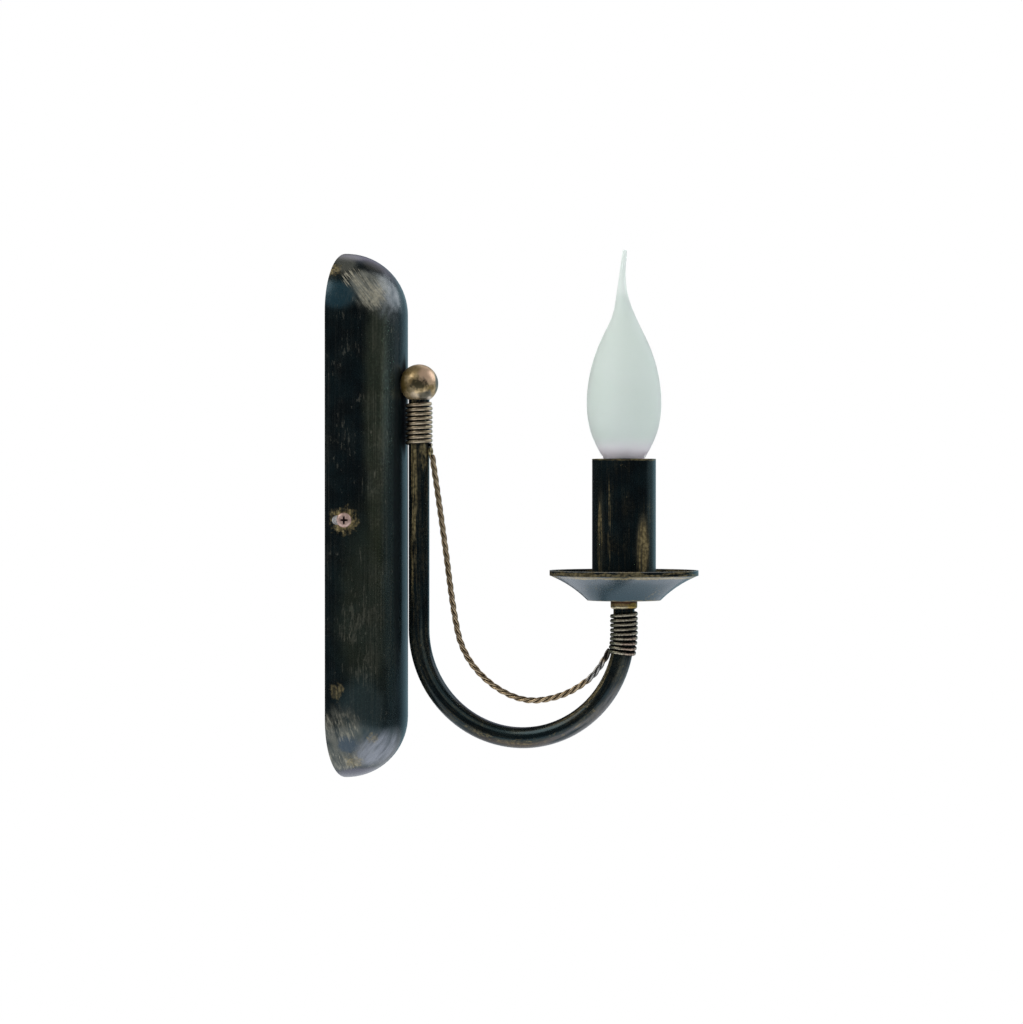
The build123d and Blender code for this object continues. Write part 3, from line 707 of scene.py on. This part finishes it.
def patina(name, strokes, dabs=(), bands=(), veils=(), painted_shade=(), paint=gold_paint, along_arm=False):
    """Lacquer under veils and painted sheens, with strokes in paint, dabs and bands in gold, and painted
    shade.
    """
    material, tree, shader, place, cloud = new_material(name, 110.0, along_arm)
    mask = mask_maker(tree, place)
    colour = blend_colours(tree, cloud["Clouds"], lacquer_black, lacquer_teal)
    covered = []
    for tint, values in veils:
        covered.append(mask(values))
        colour = blend_colours(tree, covered[-1], colour, tint)

    patchy = ramp(tree, cloud["Grain"], 0.35, 0.65)
    worn = largest(tree, [mask(values) for values in strokes])
    colour = blend_colours(tree, worn, colour, blend_colours(tree, patchy, *paint))
    touched = []
    if dabs:
        bristles = place_group(tree, brush_and_sheen_streaks, {"Vector": place, "Across": dab_across})["Bristles"]
        streak = ramp(tree, bristles, 0.28, 0.54)
        touched += [calc(tree, "MULTIPLY", mask(values), streak) for values in dabs]
    if bands:
        level = vector_calc(tree, "MULTIPLY", place, smear_stretch)
        smear = ramp(tree, noise(tree, level, smear_scale), 0.36, 0.52)
        touched += [calc(tree, "MULTIPLY", mask(values), smear) for values in bands]
    if touched:
        gilt = largest(tree, touched)
        colour = blend_colours(tree, gilt, colour, blend_colours(tree, patchy, *gold_paint))
        worn = largest(tree, [worn, gilt])
    covered.append(worn)

    rough = grainy(tree, cloud, *satin)
    rough = calc(tree, "MULTIPLY_ADD", worn, paint_roughens, rough)
    coat = coat_weight
    # Painted shade: darker, rougher and without coat under its masks
    if painted_shade:
        shade_mask = largest(tree, [mask(values) for values in painted_shade])
        colour = blend_colours(tree, shade_mask, colour, painted_shade_black)
        rough = calc(tree, "MULTIPLY_ADD", shade_mask, painted_shade_roughens, rough)
        coat = ramp(tree, shade_mask, 0.0, 1.0, coat_weight, 0.0)
    height = calc(tree, "MULTIPLY_ADD", worn, 0.8, calc(tree, "MULTIPLY", cloud["Grain"], 0.4))
    feed(tree, shader, {
        "Base Color": colour,
        "Metallic": ramp(tree, largest(tree, covered), 0.0, 1.0, lacquer_metal, paint_metal),
        "Roughness": rough,
        "Coat Weight": coat,
        "Coat Roughness": coat_rough,
        "Normal": bump(tree, height, depth=0.00008, strength=0.2),
    })
    return material


print("patina ready")

# %% [markdown]
# A finish is then a list of settings for the groups. Places on the round forms are given as the viewer
# sees them, by the share of the radius to the right and up. The strokes on the straight part of the
# canopy run up and down. On its domed ends the brush went across, falling towards the room, and left more
# paint. A ring of bare bronze surrounds each side screw.

# %% Places and settings
canopy_radius = 0.0295
dome_level = 0.0970


def on_round(middle, radius, right, up):
    """A point on a round form, by its shares to the right and up, the rest towards the viewer."""
    near = math.sqrt(max(0.0, 1 - right ** 2 - up ** 2))
    outward = image_right * right + Vector((0, 0, up)) + camera_side * near
    return tuple(Vector(middle) + outward * radius)


def on_top(right, up):
    return on_round((0, 0, dome_level), canopy_radius, right, up)


def on_foot(right, up):
    return on_round((0, 0, -dome_level), canopy_radius, right, up)


def on_side(right, level):
    return on_round((0, 0, level), canopy_radius, right, 0)


def brush(across, along, threshold, soft, **more):
    """Dry brush settings: strokes per metre across and along, how bare they are and how soft."""
    return {"Across": across, "Along": along, "Threshold": threshold, "Soft": soft, **more}


def at(preset, centre, wide, high=None, deep=None, **more):
    """A preset at one place, as high and deep as it is wide unless told otherwise."""
    size = (wide, wide if deep is None else deep, wide if high is None else high)
    return {**preset, "Centre": centre, "Size": size, **more}


def band(low, high, ragged, **more):
    """Settings of a band between two heights."""
    return {"Low": low, "High": high, "Ragged": ragged, **more}


def torn(ragged, scale):
    """Settings of a patch's edge: how ragged it is, and how fine."""
    return {"Ragged": ragged, "Scale": scale}


cloudy = torn(0.10, 90.0)
print("top of the dome seen at", [round(x, 4) for x in on_top(0, 0.9)])

# %% Canopy strokes
falling = tuple((image_right * 0.60 - Vector((0, 0, 0.80))).normalized())
rising = tuple((image_right * 0.55 + Vector((0, 0, 0.83))).normalized())
steep = tuple((image_right * 0.25 - Vector((0, 0, 0.97))).normalized())
on_dome = {"Direction": falling, "Depth": tuple(camera_side)}
on_base = {"Direction": steep, "Depth": tuple(camera_side)}
upright_fine = brush(1400.0, 26.0, 0.56, 0.14)
dome_fine = brush(1900.0, 130.0, 0.55, 0.08, **on_dome)
dome_haze = brush(420.0, 60.0, 0.36, 0.24, **on_dome)
foot_fine = brush(1300.0, 220.0, 0.54, 0.10, **on_base)
foot_haze = brush(500.0, 120.0, 0.36, 0.24, **on_base)
# Settings for painted sheens: soft streaks that stand for reflections of the lamps and the floor on the
# domes
sheen = brush(300.0, 60.0, 0.40, 0.30, Direction=rising)
canopy_strokes = [
    brush(1100.0, 20.0, 0.58, 0.16, Strength=0.05),
    brush(900.0, 240.0, 0.695, 0.04, Strength=0.26),
    at(brush(1000.0, 150.0, 0.61, 0.06), on_side(0.22, -0.048), 0.018, 0.060, deep=0.016, Strength=0.18),
    at(upright_fine, on_side(0.51, 0), 0.011, 0.16, deep=0.010, Strength=0.13),
    at(upright_fine, on_side(-0.32, 0), 0.005, 0.16, Strength=0.14),
    at(dome_fine, on_top(-0.20, 0.74), 0.0075, Strength=0.65),
    at(dome_fine, on_top(0.18, 0.56), 0.0092, Threshold=0.52),
    at(dome_fine, on_top(0.45, 0.28), 0.0100, Threshold=0.49),
    at(foot_fine, on_foot(-0.06, -0.08), 0.013, 0.0105, Strength=0.60),
    at(foot_fine, on_foot(-0.02, -0.70), 0.013, 0.0075, Strength=0.50),
]
canopy_dabs = [
    at({"Ragged": 0.45}, on_side(0.0, -0.002), 0.0067),
    at(torn(0.55, 420.0), on_top(-0.18, 0.70), 0.0042, 0.0052, Strength=0.7),
    at(torn(0.70, 420.0), on_side(-0.11, -0.0835), 0.0034, 0.0046, Strength=0.55),
    at(torn(0.70, 420.0), on_foot(0.13, -0.70), 0.0045, 0.0042, Strength=0.45),
    at(torn(0.70, 520.0), on_foot(0.46, -0.30), 0.0034, 0.0026, Strength=0.35),
]
print("canopy:", len(canopy_strokes), "kinds of stroke,", len(canopy_dabs), "dabs")

# %% Canopy finish
olive = (0.052, 0.062, 0.031)
dark_olive = (0.036, 0.036, 0.020)
# A teal tint on the canopy; on the arm it is a painted highlight and on the sleeve a painted reflection
teal_tint_and_sheen = (0.038, 0.066, 0.070)
dome_teal_sheen = (0.020, 0.062, 0.084)
slate = (0.046, 0.074, 0.102)
blue_grey_sheen = (0.205, 0.230, 0.238)
top_sheen_grey = (0.26, 0.26, 0.26)
violet_rim_sheen = (0.098, 0.096, 0.140)
lavender_sheen = (0.29, 0.31, 0.35)
grey_gold = (0.19, 0.19, 0.155)
pale_gold = (0.30, 0.305, 0.26)
canopy_finish = patina(
    "canopy_patina",
    strokes=canopy_strokes,
    dabs=canopy_dabs,
    veils=[
        (olive, at(cloudy, on_side(0.57, 0.05), 0.0105, 0.10, deep=0.0095, Strength=0.65)),
        (olive, at(cloudy, on_side(0.37, -0.046), 0.019, 0.060, deep=0.017, Strength=0.5)),
        (teal_tint_and_sheen, at(cloudy, on_side(0.77, 0), 0.008, 0.15, Strength=0.6)),
        (teal_tint_and_sheen, at(cloudy, on_side(0.29, -0.092), 0.016, 0.020, Strength=0.65)),
        # Painted sheen: a blue-grey reflection on the right of the upper dome
        (blue_grey_sheen, at(sheen, on_top(0.68, 0.34), 0.015, 0.017)),
        # Painted sheen: a grey reflection along the top of the upper dome
        (top_sheen_grey, at(cloudy, on_top(0.06, 0.95), 0.010, 0.0055, Strength=0.85)),
        # Painted sheen: a violet reflection along the upper dome's top-right rim
        (violet_rim_sheen, at(cloudy, on_top(0.42, 0.89), 0.009, 0.0045, Strength=0.8)),
        (grey_gold, at(dome_haze, on_top(-0.05, 0.80), 0.0100, Strength=0.7)),
        (pale_gold, at(dome_haze, on_top(0.40, 0.40), 0.0130)),
        (dark_olive, at(cloudy, on_top(0.46, 0.77), 0.0075, 0.0050, Strength=0.75)),
        # Painted sheen: a faint teal reflection on the left of the upper dome
        (dome_teal_sheen, at(cloudy, on_top(-0.12, 0.28), 0.0115, 0.0085, Strength=0.9)),
        (grey_gold, at(foot_haze, on_foot(-0.08, -0.12), 0.014, 0.012, Strength=0.65)),
        (grey_gold, at(foot_haze, on_foot(0.0, -0.60), 0.018, 0.011, Strength=0.7)),
        (slate, at(torn(0.3, 260.0), on_foot(0.06, -0.41), 0.0062, 0.0056, Strength=0.9)),
        # Painted sheen: a pale lavender reflection on the right of the lower dome
        (lavender_sheen, at(sheen, on_foot(0.54, -0.54), 0.0135, 0.0120, Threshold=0.34)),
        # Painted sheen: a violet reflection along the lower dome's bottom edge
        (violet_rim_sheen, at(cloudy, on_foot(0.22, -0.93), 0.016, 0.0050, deep=0.014, Strength=0.8)),
    ],
    # Painted shade: the shadow and dark reflection of the ball, the upper winding and the tube on the
    # canopy's right side
    painted_shade=[
        at(cloudy, on_side(0.97, 0.0600), 0.0080, 0.020),
        at(cloudy, on_side(0.97, 0.0430), 0.0080, 0.017),
        at(cloudy, on_side(0.84, 0.0), 0.0034, 0.090, Strength=0.6),
    ],
    paint=grey_gold_paint,
)
print("made", canopy_finish.name)

# %% [markdown]
# On the arm, places are counted along the tube: offsets from its middle line to the side and outward
# from the hook, and the distance from the start of the bend, positive up the wall side.

# %% Arm finish
bend_sheen_grey = (0.17, 0.165, 0.165)
earth = (0.125, 0.090, 0.065)
arm_fine = brush(1300.0, 45.0, 0.46, 0.12)
arm_flecks = brush(700.0, 250.0, 0.56, 0.10)
eye_flecks = brush(700.0, 220.0, 0.50, 0.12)
arm_haze = brush(500.0, 60.0, 0.40, 0.2)
arm_finish = patina(
    "arm_patina",
    strokes=[
        brush(1000.0, 40.0, 0.57, 0.14, Strength=0.16),
        brush(800.0, 600.0, 0.73, 0.04, Strength=0.4),
        at(arm_fine, (-0.0049, 0.0010, 0.065), 0.0028, 0.078, deep=0.0026, Strength=0.75),
        at(arm_fine, (-0.0036, -0.0036, -0.138), 0.0019, 0.050, Strength=0.6),
        at(arm_flecks, (-0.0045, 0.0018, -0.088), 0.0032, 0.050, deep=0.0028, Strength=0.6),
        at(eye_flecks, (-0.0035, -0.0040, 0.083), 0.0050, 0.011, deep=0.0045, Strength=0.6),
    ],
    veils=[
        # Painted sheen: a grey reflection on the outer side of the bend
        (bend_sheen_grey, at(arm_haze, (-0.0026, 0.0042, -0.111), 0.0055, 0.034, deep=0.0034, Strength=0.85)),
        (earth, at(arm_haze, (-0.0038, 0.0034, -0.078), 0.0032, 0.030, deep=0.0028,
                   Threshold=0.42, Strength=0.6)),
        # Painted highlight: a thin teal line along the inner side of the bend
        (teal_tint_and_sheen, at(cloudy, (-0.0042, -0.0026, -0.035), 0.0020, 0.055, deep=0.0011, Strength=0.8)),
    ],
    along_arm=True,
)
print("made", arm_finish.name)

# %% Pan and sleeve finishes
steel_blue = (0.040, 0.082, 0.104)
pan_sheen_blue = (0.135, 0.165, 0.190)
rim_grey = (0.26, 0.26, 0.24)
rim_gold = (0.40, 0.34, 0.19)
umber = (0.080, 0.073, 0.046)
pan_finish = patina(
    "pan_patina",
    strokes=[brush(600.0, 600.0, 0.70, 0.06, Strength=0.25)],
    bands=[
        band(-0.0290, -0.0280, 0.0014, Scale=150.0, Strength=0.5),
        band(-0.0290, -0.0256, 0.0060, Scale=60.0, Strength=0.55),
        band(-0.0400, -0.0391, 0.0020, Scale=120.0, Strength=0.6),
    ],
    veils=[
        (steel_blue, band(-0.0405, -0.0274, 0.0005, Soft=0.0012, Strength=0.85)),
        # Painted sheen: lighter blue for the floor's reflection, in a band on the upper flank
        (pan_sheen_blue, band(-0.0325, -0.0270, 0.0060, Soft=0.0035, Scale=70.0, Strength=0.6)),
        (rim_gold, band(-0.0292, -0.0282, 0.0016, Soft=0.0003, Scale=260.0)),
        (rim_grey, band(-0.0259, -0.0200, 0.0004, Soft=0.0002)),
        # Painted sheen: a lighter blue patch on the flank's wall side
        (pan_sheen_blue, at(torn(0.25, 150.0), (-0.0203, -0.1200, -0.0307), 0.012, 0.006, Strength=0.7)),
    ],
)
sleeve_thin = brush(1500.0, 80.0, 0.47, 0.16)
sleeve_wide = brush(1300.0, 60.0, 0.44, 0.18)
sleeve_finish = patina(
    "sleeve_patina",
    strokes=[
        brush(1200.0, 26.0, 0.60, 0.14, Strength=0.12),
        brush(800.0, 600.0, 0.73, 0.03, Strength=0.4),
        at(sleeve_thin, (-0.0126, -0.1311, -0.0120), 0.0021, 0.027, Strength=0.75),
        at(sleeve_thin, (-0.0147, -0.1363, -0.0040), 0.0013, 0.033,
           Threshold=0.49, Soft=0.14, Strength=0.45),
        at(sleeve_wide, (-0.0091, -0.1512, -0.0150), 0.0046, 0.018, Strength=0.95),
        at(sleeve_wide, (-0.0143, -0.1440, -0.0080), 0.0030, 0.026,
           Threshold=0.54, Soft=0.15, Strength=0.15),
    ],
    bands=[band(0.0258, 0.0275, 0.0015, Scale=200.0, Strength=0.6)],
    veils=[
        # Painted reflection: teal down the sleeve's side towards the room
        (teal_tint_and_sheen, at(cloudy, (-0.0027, -0.1541, 0.0), 0.006, 0.06, Strength=0.8)),
        (umber, at(cloudy, (-0.0091, -0.1512, -0.0140), 0.0046, 0.018, Strength=0.95)),
        (umber, at(cloudy, (-0.0129, -0.1316, -0.0090), 0.0030, 0.028, Strength=0.45)),
    ],
)
print("patina finishes:", [m.name for m in bpy.data.materials if "patina" in m.name])

# %% [markdown]
# ## Antique bronze
#
# The ball, windings, swag and collar are bronze that was darkened and wiped, so it is bright where a
# cloth reaches and almost black in the grooves. On the wires the stored crest value says which is which.
# Patches of other colours break up each piece. Some are rubbed marks; on the ball most are painted
# highlights, painted reflections and painted shade at the rims, the upper winding carries a painted
# shadow on its left side, and painted shade turns the swag grey and then black at its lower end.

# %% Bronze material
groove_black = (0.012, 0.011, 0.010)
groove_rough = 0.60
wiped_rough = (0.32, 0.44)


def bronze(name, light, dark, grooves=None, polish=0.34, metallic=0.9, tints=()):
    """Wiped bronze. It turns bright between the two crest values of grooves, with polish for roughness."""
    material, tree, shader, place, cloud = new_material(name, 230.0)
    mask = mask_maker(tree, place)
    colour = blend_colours(tree, cloud["Clouds"], light, dark)
    for tint, values in tints:
        colour = blend_colours(tree, mask(values), colour, tint)
    if grooves:
        height = put(tree, "ShaderNodeAttribute", attribute_name="crest").outputs["Fac"]
        wiped = calc(tree, "MULTIPLY_ADD", calc(tree, "SUBTRACT", cloud["Grain"], 0.5), 0.3, height)
        bare = ramp(tree, wiped, *grooves)
        colour = blend_colours(tree, bare, groove_black, colour)
        rough = ramp(tree, bare, 0.0, 1.0, groove_rough, polish)
    else:
        rough = ramp(tree, cloud["Clouds"], 0.0, 1.0, *wiped_rough)
    feed(tree, shader, {
        "Base Color": colour,
        "Metallic": metallic,
        "Roughness": rough,
        "Normal": bump(tree, cloud["Grain"], depth=0.00006, strength=0.3),
    })
    return material


print("bronze ready")

# %% Ball finish
ball_middle = (0, -0.0370, 0.0634)
ball_radius = 0.00925


def on_ball(right, up):
    return on_round(ball_middle, ball_radius, right, up)


shade_and_stain_brown = (0.035, 0.027, 0.018)
dark_reflection_olive = (0.045, 0.042, 0.020)
rim_shade_gold = (0.20, 0.13, 0.025)
highlight_rose = (0.95, 0.66, 0.45)
highlight_beige = (0.84, 0.72, 0.58)
reflection_grey = (0.15, 0.175, 0.18)
# Edge of patches that are rubbed marks and of patches of painted light and shade
rub_and_light_edge = torn(0.30, 320.0)
ball_finish = bronze(
    "bronze_ball", (0.88, 0.67, 0.38), (0.44, 0.31, 0.14), metallic=0.65,
    tints=[
        # Painted light on the ball: a rose highlight at the upper right, darker gold mostly along the rims
        # as painted shade, grey reflections low and at the right edge, dark olive reflections in the middle
        # and beige highlights low
        (highlight_rose, at(rub_and_light_edge, on_ball(0.48, 0.42), 0.0058, Strength=0.9)),
        (rim_shade_gold, at(rub_and_light_edge, on_ball(-0.90, 0.10), 0.0052, 0.0085, Strength=0.9)),
        (rim_shade_gold, at(rub_and_light_edge, on_ball(0.62, -0.34), 0.0028, Strength=0.7)),
        (rim_shade_gold, at(rub_and_light_edge, on_ball(-0.40, 0.70), 0.0055, 0.0034, Strength=0.45)),
        (reflection_grey, at(rub_and_light_edge, on_ball(0.40, -0.68), 0.0042, Strength=0.7)),
        (reflection_grey, at(rub_and_light_edge, on_ball(0.98, 0.0), 0.0034, 0.0075, Strength=0.85)),
        (dark_reflection_olive, at(torn(0.55, 420.0), on_ball(-0.04, -0.05), 0.0066, 0.0044, Strength=0.42)),
        (dark_reflection_olive, at(torn(0.60, 520.0), on_ball(-0.02, -0.08), 0.0044, 0.0025, Strength=0.85)),
        (dark_reflection_olive, at(rub_and_light_edge, on_ball(-0.42, -0.32), 0.0026, Strength=0.55)),
        (dark_reflection_olive, at(rub_and_light_edge, on_ball(0.28, -0.58), 0.0040, 0.0016, Strength=0.6)),
        (highlight_beige, at(rub_and_light_edge, on_ball(-0.22, -0.66), 0.0024, Strength=0.45)),
        (highlight_beige, at(rub_and_light_edge, on_ball(0.50, -0.80), 0.0020, Strength=0.9)),
    ],
)
print("made", ball_finish.name)

# %% Wire and collar finishes
wire_olive = (0.34, 0.36, 0.25)
wire_rose = (0.82, 0.58, 0.45)
swag_shade_grey = (0.58, 0.58, 0.56)
swag_shade_black = (0.045, 0.045, 0.048)
red_brown = (0.20, 0.085, 0.055)
bright_gold = (0.95, 0.70, 0.16)
verdigris = (0.62, 0.68, 0.55)
winding_finish = bronze(
    "bronze_winding", (0.90, 0.75, 0.52), (0.62, 0.48, 0.31), grooves=(0.76, 0.97),
    tints=[
        # Painted shadow: the upper winding darkened on its wall side, beside the canopy
        (shade_and_stain_brown, at(rub_and_light_edge, (-0.0019, -0.0308, 0.0437), 0.0060, 0.030, Strength=0.9)),
    ],
)
foot_winding_finish = bronze(
    "bronze_foot_winding", (0.88, 0.80, 0.60), (0.64, 0.56, 0.41), grooves=(0.86, 1.02),
    tints=[
        (wire_olive, at(rub_and_light_edge, (-0.0034, -0.1336, -0.0540), 0.0060, 0.025, deep=0.0052, Strength=0.9)),
        (wire_rose, at(rub_and_light_edge, (-0.0043, -0.1439, -0.0610), 0.0060, 0.0065, deep=0.0050, Strength=0.7)),
    ],
)
swag_finish = bronze(
    "bronze_swag", (0.74, 0.57, 0.36), (0.46, 0.34, 0.20), grooves=(0.38, 0.96), polish=0.30,
    tints=[
        # Painted shade: the swag turns grey and then black at its lower end
        (swag_shade_grey, at(rub_and_light_edge, (0, -0.1262, -0.0727), 0.006, 0.0080, deep=0.0080, Strength=0.9)),
        (swag_shade_black, at(rub_and_light_edge, (0, -0.1315, -0.0640), 0.006, 0.0066, deep=0.0048, Strength=0.9)),
    ],
)
eye_finish = bronze("bronze_eye", (0.60, 0.50, 0.26), (0.13, 0.105, 0.05))
collar_finish = bronze(
    "bronze_collar", (0.98, 0.70, 0.32), (0.20, 0.125, 0.05),
    tints=[
        (red_brown, band(-0.0412, -0.0390, 0.0008, Strength=0.85)),
        (bright_gold, at(torn(0.6, 320.0), (-0.0030, -0.1446, -0.0424), 0.0030, 0.0016, Strength=0.5)),
        (verdigris, at(torn(0.5, 320.0), (-0.0058, -0.1380, -0.0431), 0.0050, 0.0014, Strength=0.45)),
        # A dark brown line low on the collar
        (shade_and_stain_brown, at(rub_and_light_edge, (-0.0020, -0.1440, -0.0436), 0.0060, 0.0009, deep=0.0040, Strength=0.7)),
    ],
)
print("bronze finishes:", [m.name for m in bpy.data.materials if "bronze" in m.name])

# %% [markdown]
# ## Glass
#
# The bulb's glass is etched on the inside, so it scatters light and hides the filament, with a faint
# green from the glass itself. A rough transmissive surface does both. The stem inside is clear.

# %% Glass materials
glass_green = ((0.86, 0.925, 0.885), (0.875, 0.93, 0.90))
painted_light_foot = (1.0, 0.96, 1.0)


def frosted(name):
    """Etched glass that lets half of the light through, with painted light that keeps the bulb's foot almost
    white.
    """
    material, tree, shader, place, cloud = new_material(name, 60.0)
    # Painted light: the foot is made almost white, so that the sleeve's shade doesn't darken it
    foot_band = {"Vector": place, "Low": 0.018, "High": 0.038, "Soft": 0.009}
    foot = place_group(tree, level_band, foot_band)["Mask"]
    glass = blend_colours(tree, cloud["Clouds"], *glass_green)
    feed(tree, shader, {
        "Base Color": blend_colours(tree, foot, glass, painted_light_foot),
        "Roughness": grainy(tree, cloud, 0.5, 0.58),
        "Transmission Weight": 0.5,
        "IOR": 1.2,
        "Normal": bump(tree, cloud["Grain"], depth=0.00003, strength=0.2),
    })
    return material


def clear_glass(name):
    """Clear glass with faintly uneven polish."""
    material, tree, shader, _, cloud = new_material(name, 90.0)
    feed(tree, shader, {
        "Base Color": (0.93, 0.96, 0.95, 1),
        "Roughness": grainy(tree, cloud, 0.02, 0.07),
        "Transmission Weight": 1.0,
        "IOR": 1.45,
    })
    return material


bulb_finish = frosted("frosted_glass")
stem_finish = clear_glass("stem_glass")
print("glass finishes ready")

# %% [markdown]
# ## Fittings
#
# The pieces inside the canopy and the lampholder hardly show, but each still is what it is: plated
# steel with a fine drawn grain, bare brass, moulded plastic with a slight orange peel.

# %% Metals and plastics


def drawn_metal(name, light, dark, rough, scale=300.0, metallic=1.0, painted_light_and_shade=()):
    """Plated or bare metal, clouded between two colours, with painted light and shade at some places."""
    material, tree, shader, place, cloud = new_material(name, scale)
    colour = blend_colours(tree, cloud["Clouds"], light, dark)
    for tint, values in painted_light_and_shade:
        colour = blend_colours(tree, mask_maker(tree, place)(values), colour, tint)
    feed(tree, shader, {
        "Base Color": colour,
        "Metallic": metallic,
        "Roughness": grainy(tree, cloud, rough - 0.06, rough + 0.08),
        "Normal": bump(tree, cloud["Grain"], depth=0.00004, strength=0.25),
    })
    return material


def moulded(name, light, dark, rough):
    """Plastic with a slightly uneven skin."""
    material, tree, shader, _, cloud = new_material(name, 220.0)
    feed(tree, shader, {
        "Base Color": blend_colours(tree, cloud["Clouds"], light, dark),
        "Roughness": grainy(tree, cloud, rough - 0.05, rough + 0.08),
        "Normal": bump(tree, cloud["Grain"], depth=0.00005, strength=0.25),
    })
    return material


recess_shade_black = (0.030, 0.010, 0.012)
zinc = drawn_metal(
    "zinc_plate", (0.66, 0.69, 0.71), (0.50, 0.53, 0.56), 0.42, metallic=0.15,
    # Painted light: the ear seen through the canopy's slot is painted white, so that it stays bright in the
    # slot's shade
    painted_light_and_shade=[(white, at({"Ragged": 0.05}, (-0.0290, -0.0095, -0.002), 0.0090, 0.0140, deep=0.0140))],
)
dark_steel = drawn_metal("dark_steel", (0.16, 0.16, 0.16), (0.07, 0.07, 0.075), 0.42)
copper = drawn_metal(
    "worn_copper", (0.86, 0.62, 0.55), (0.62, 0.42, 0.35), 0.42, scale=700.0, metallic=0.6,
    # Painted shade: the cross recess in the middle of the screw head is darkened
    painted_light_and_shade=[(recess_shade_black, at({"Ragged": 0.10}, (-0.0289, -0.0095, -0.002), 0.0010, 0.0024, deep=0.0024))],
)
brass = drawn_metal("bare_brass", (0.72, 0.58, 0.30), (0.58, 0.45, 0.22), 0.32)
nickel = drawn_metal("nickel_cap", (0.70, 0.69, 0.66), (0.58, 0.57, 0.54), 0.3)
tungsten = drawn_metal("tungsten", (0.40, 0.40, 0.41), (0.28, 0.28, 0.29), 0.4)
holder_black = moulded("holder_plastic", (0.045, 0.043, 0.042), (0.03, 0.029, 0.028), 0.42)
insulator_black = moulded("insulator_glass", (0.02, 0.02, 0.024), (0.012, 0.012, 0.015), 0.18)
block_white = moulded("block_plastic", (0.80, 0.79, 0.74), (0.72, 0.71, 0.66), 0.45)
wire_brown = moulded("brown_insulation", (0.16, 0.075, 0.035), (0.12, 0.055, 0.025), 0.45)
wire_blue = moulded("blue_insulation", (0.03, 0.10, 0.36), (0.02, 0.075, 0.28), 0.45)
wire_green = moulded("green_insulation", (0.13, 0.36, 0.05), (0.10, 0.28, 0.04), 0.45)
print("fittings ready")

# %% Hand out the finishes


def dress(material, *names):
    for name in names:
        mesh = nodes[name].data
        mesh.materials.clear()
        mesh.materials.append(material)


dress(canopy_finish, "canopy_shell")
dress(arm_finish, "arm_tube")
dress(pan_finish, "drip_pan")
dress(sleeve_finish, "candle_sleeve")
dress(dark_steel, "arm_nipple", "nipple_nut", "nipple_washer", "pan_nut")
dress(ball_finish, "arm_ball")
dress(eye_finish, "rope_eye")
dress(collar_finish, "pan_collar", "pan_washer")
dress(copper, "canopy_screws")
dress(zinc, "wall_bracket", "earth_screw", "block_screw", "holder_terminal_screws", "terminal_screws")
dress(holder_black, "holder_base", "holder_body")
dress(brass, "holder_shell", "holder_contact", "holder_terminals")
dress(brass, "terminal_clamps", "earth_lug", "bulb_contact")
dress(bulb_finish, "bulb_glass")
dress(stem_finish, "bulb_stem")
dress(nickel, "bulb_cap", "bulb_leads")
dress(insulator_black, "bulb_insulator")
dress(tungsten, "bulb_filament")
dress(block_white, "terminal_block")
dress(wire_brown, "live_wire")
dress(wire_blue, "neutral_wire")
dress(wire_green, "earth_wire")
swag.data.materials.append(swag_finish)
upper_turns.data.materials.append(winding_finish)
lower_turns.data.materials.append(foot_winding_finish)
bare = sorted(name for name, item in nodes.items() if not item.data.materials)
print("solids without a finish:", bare)
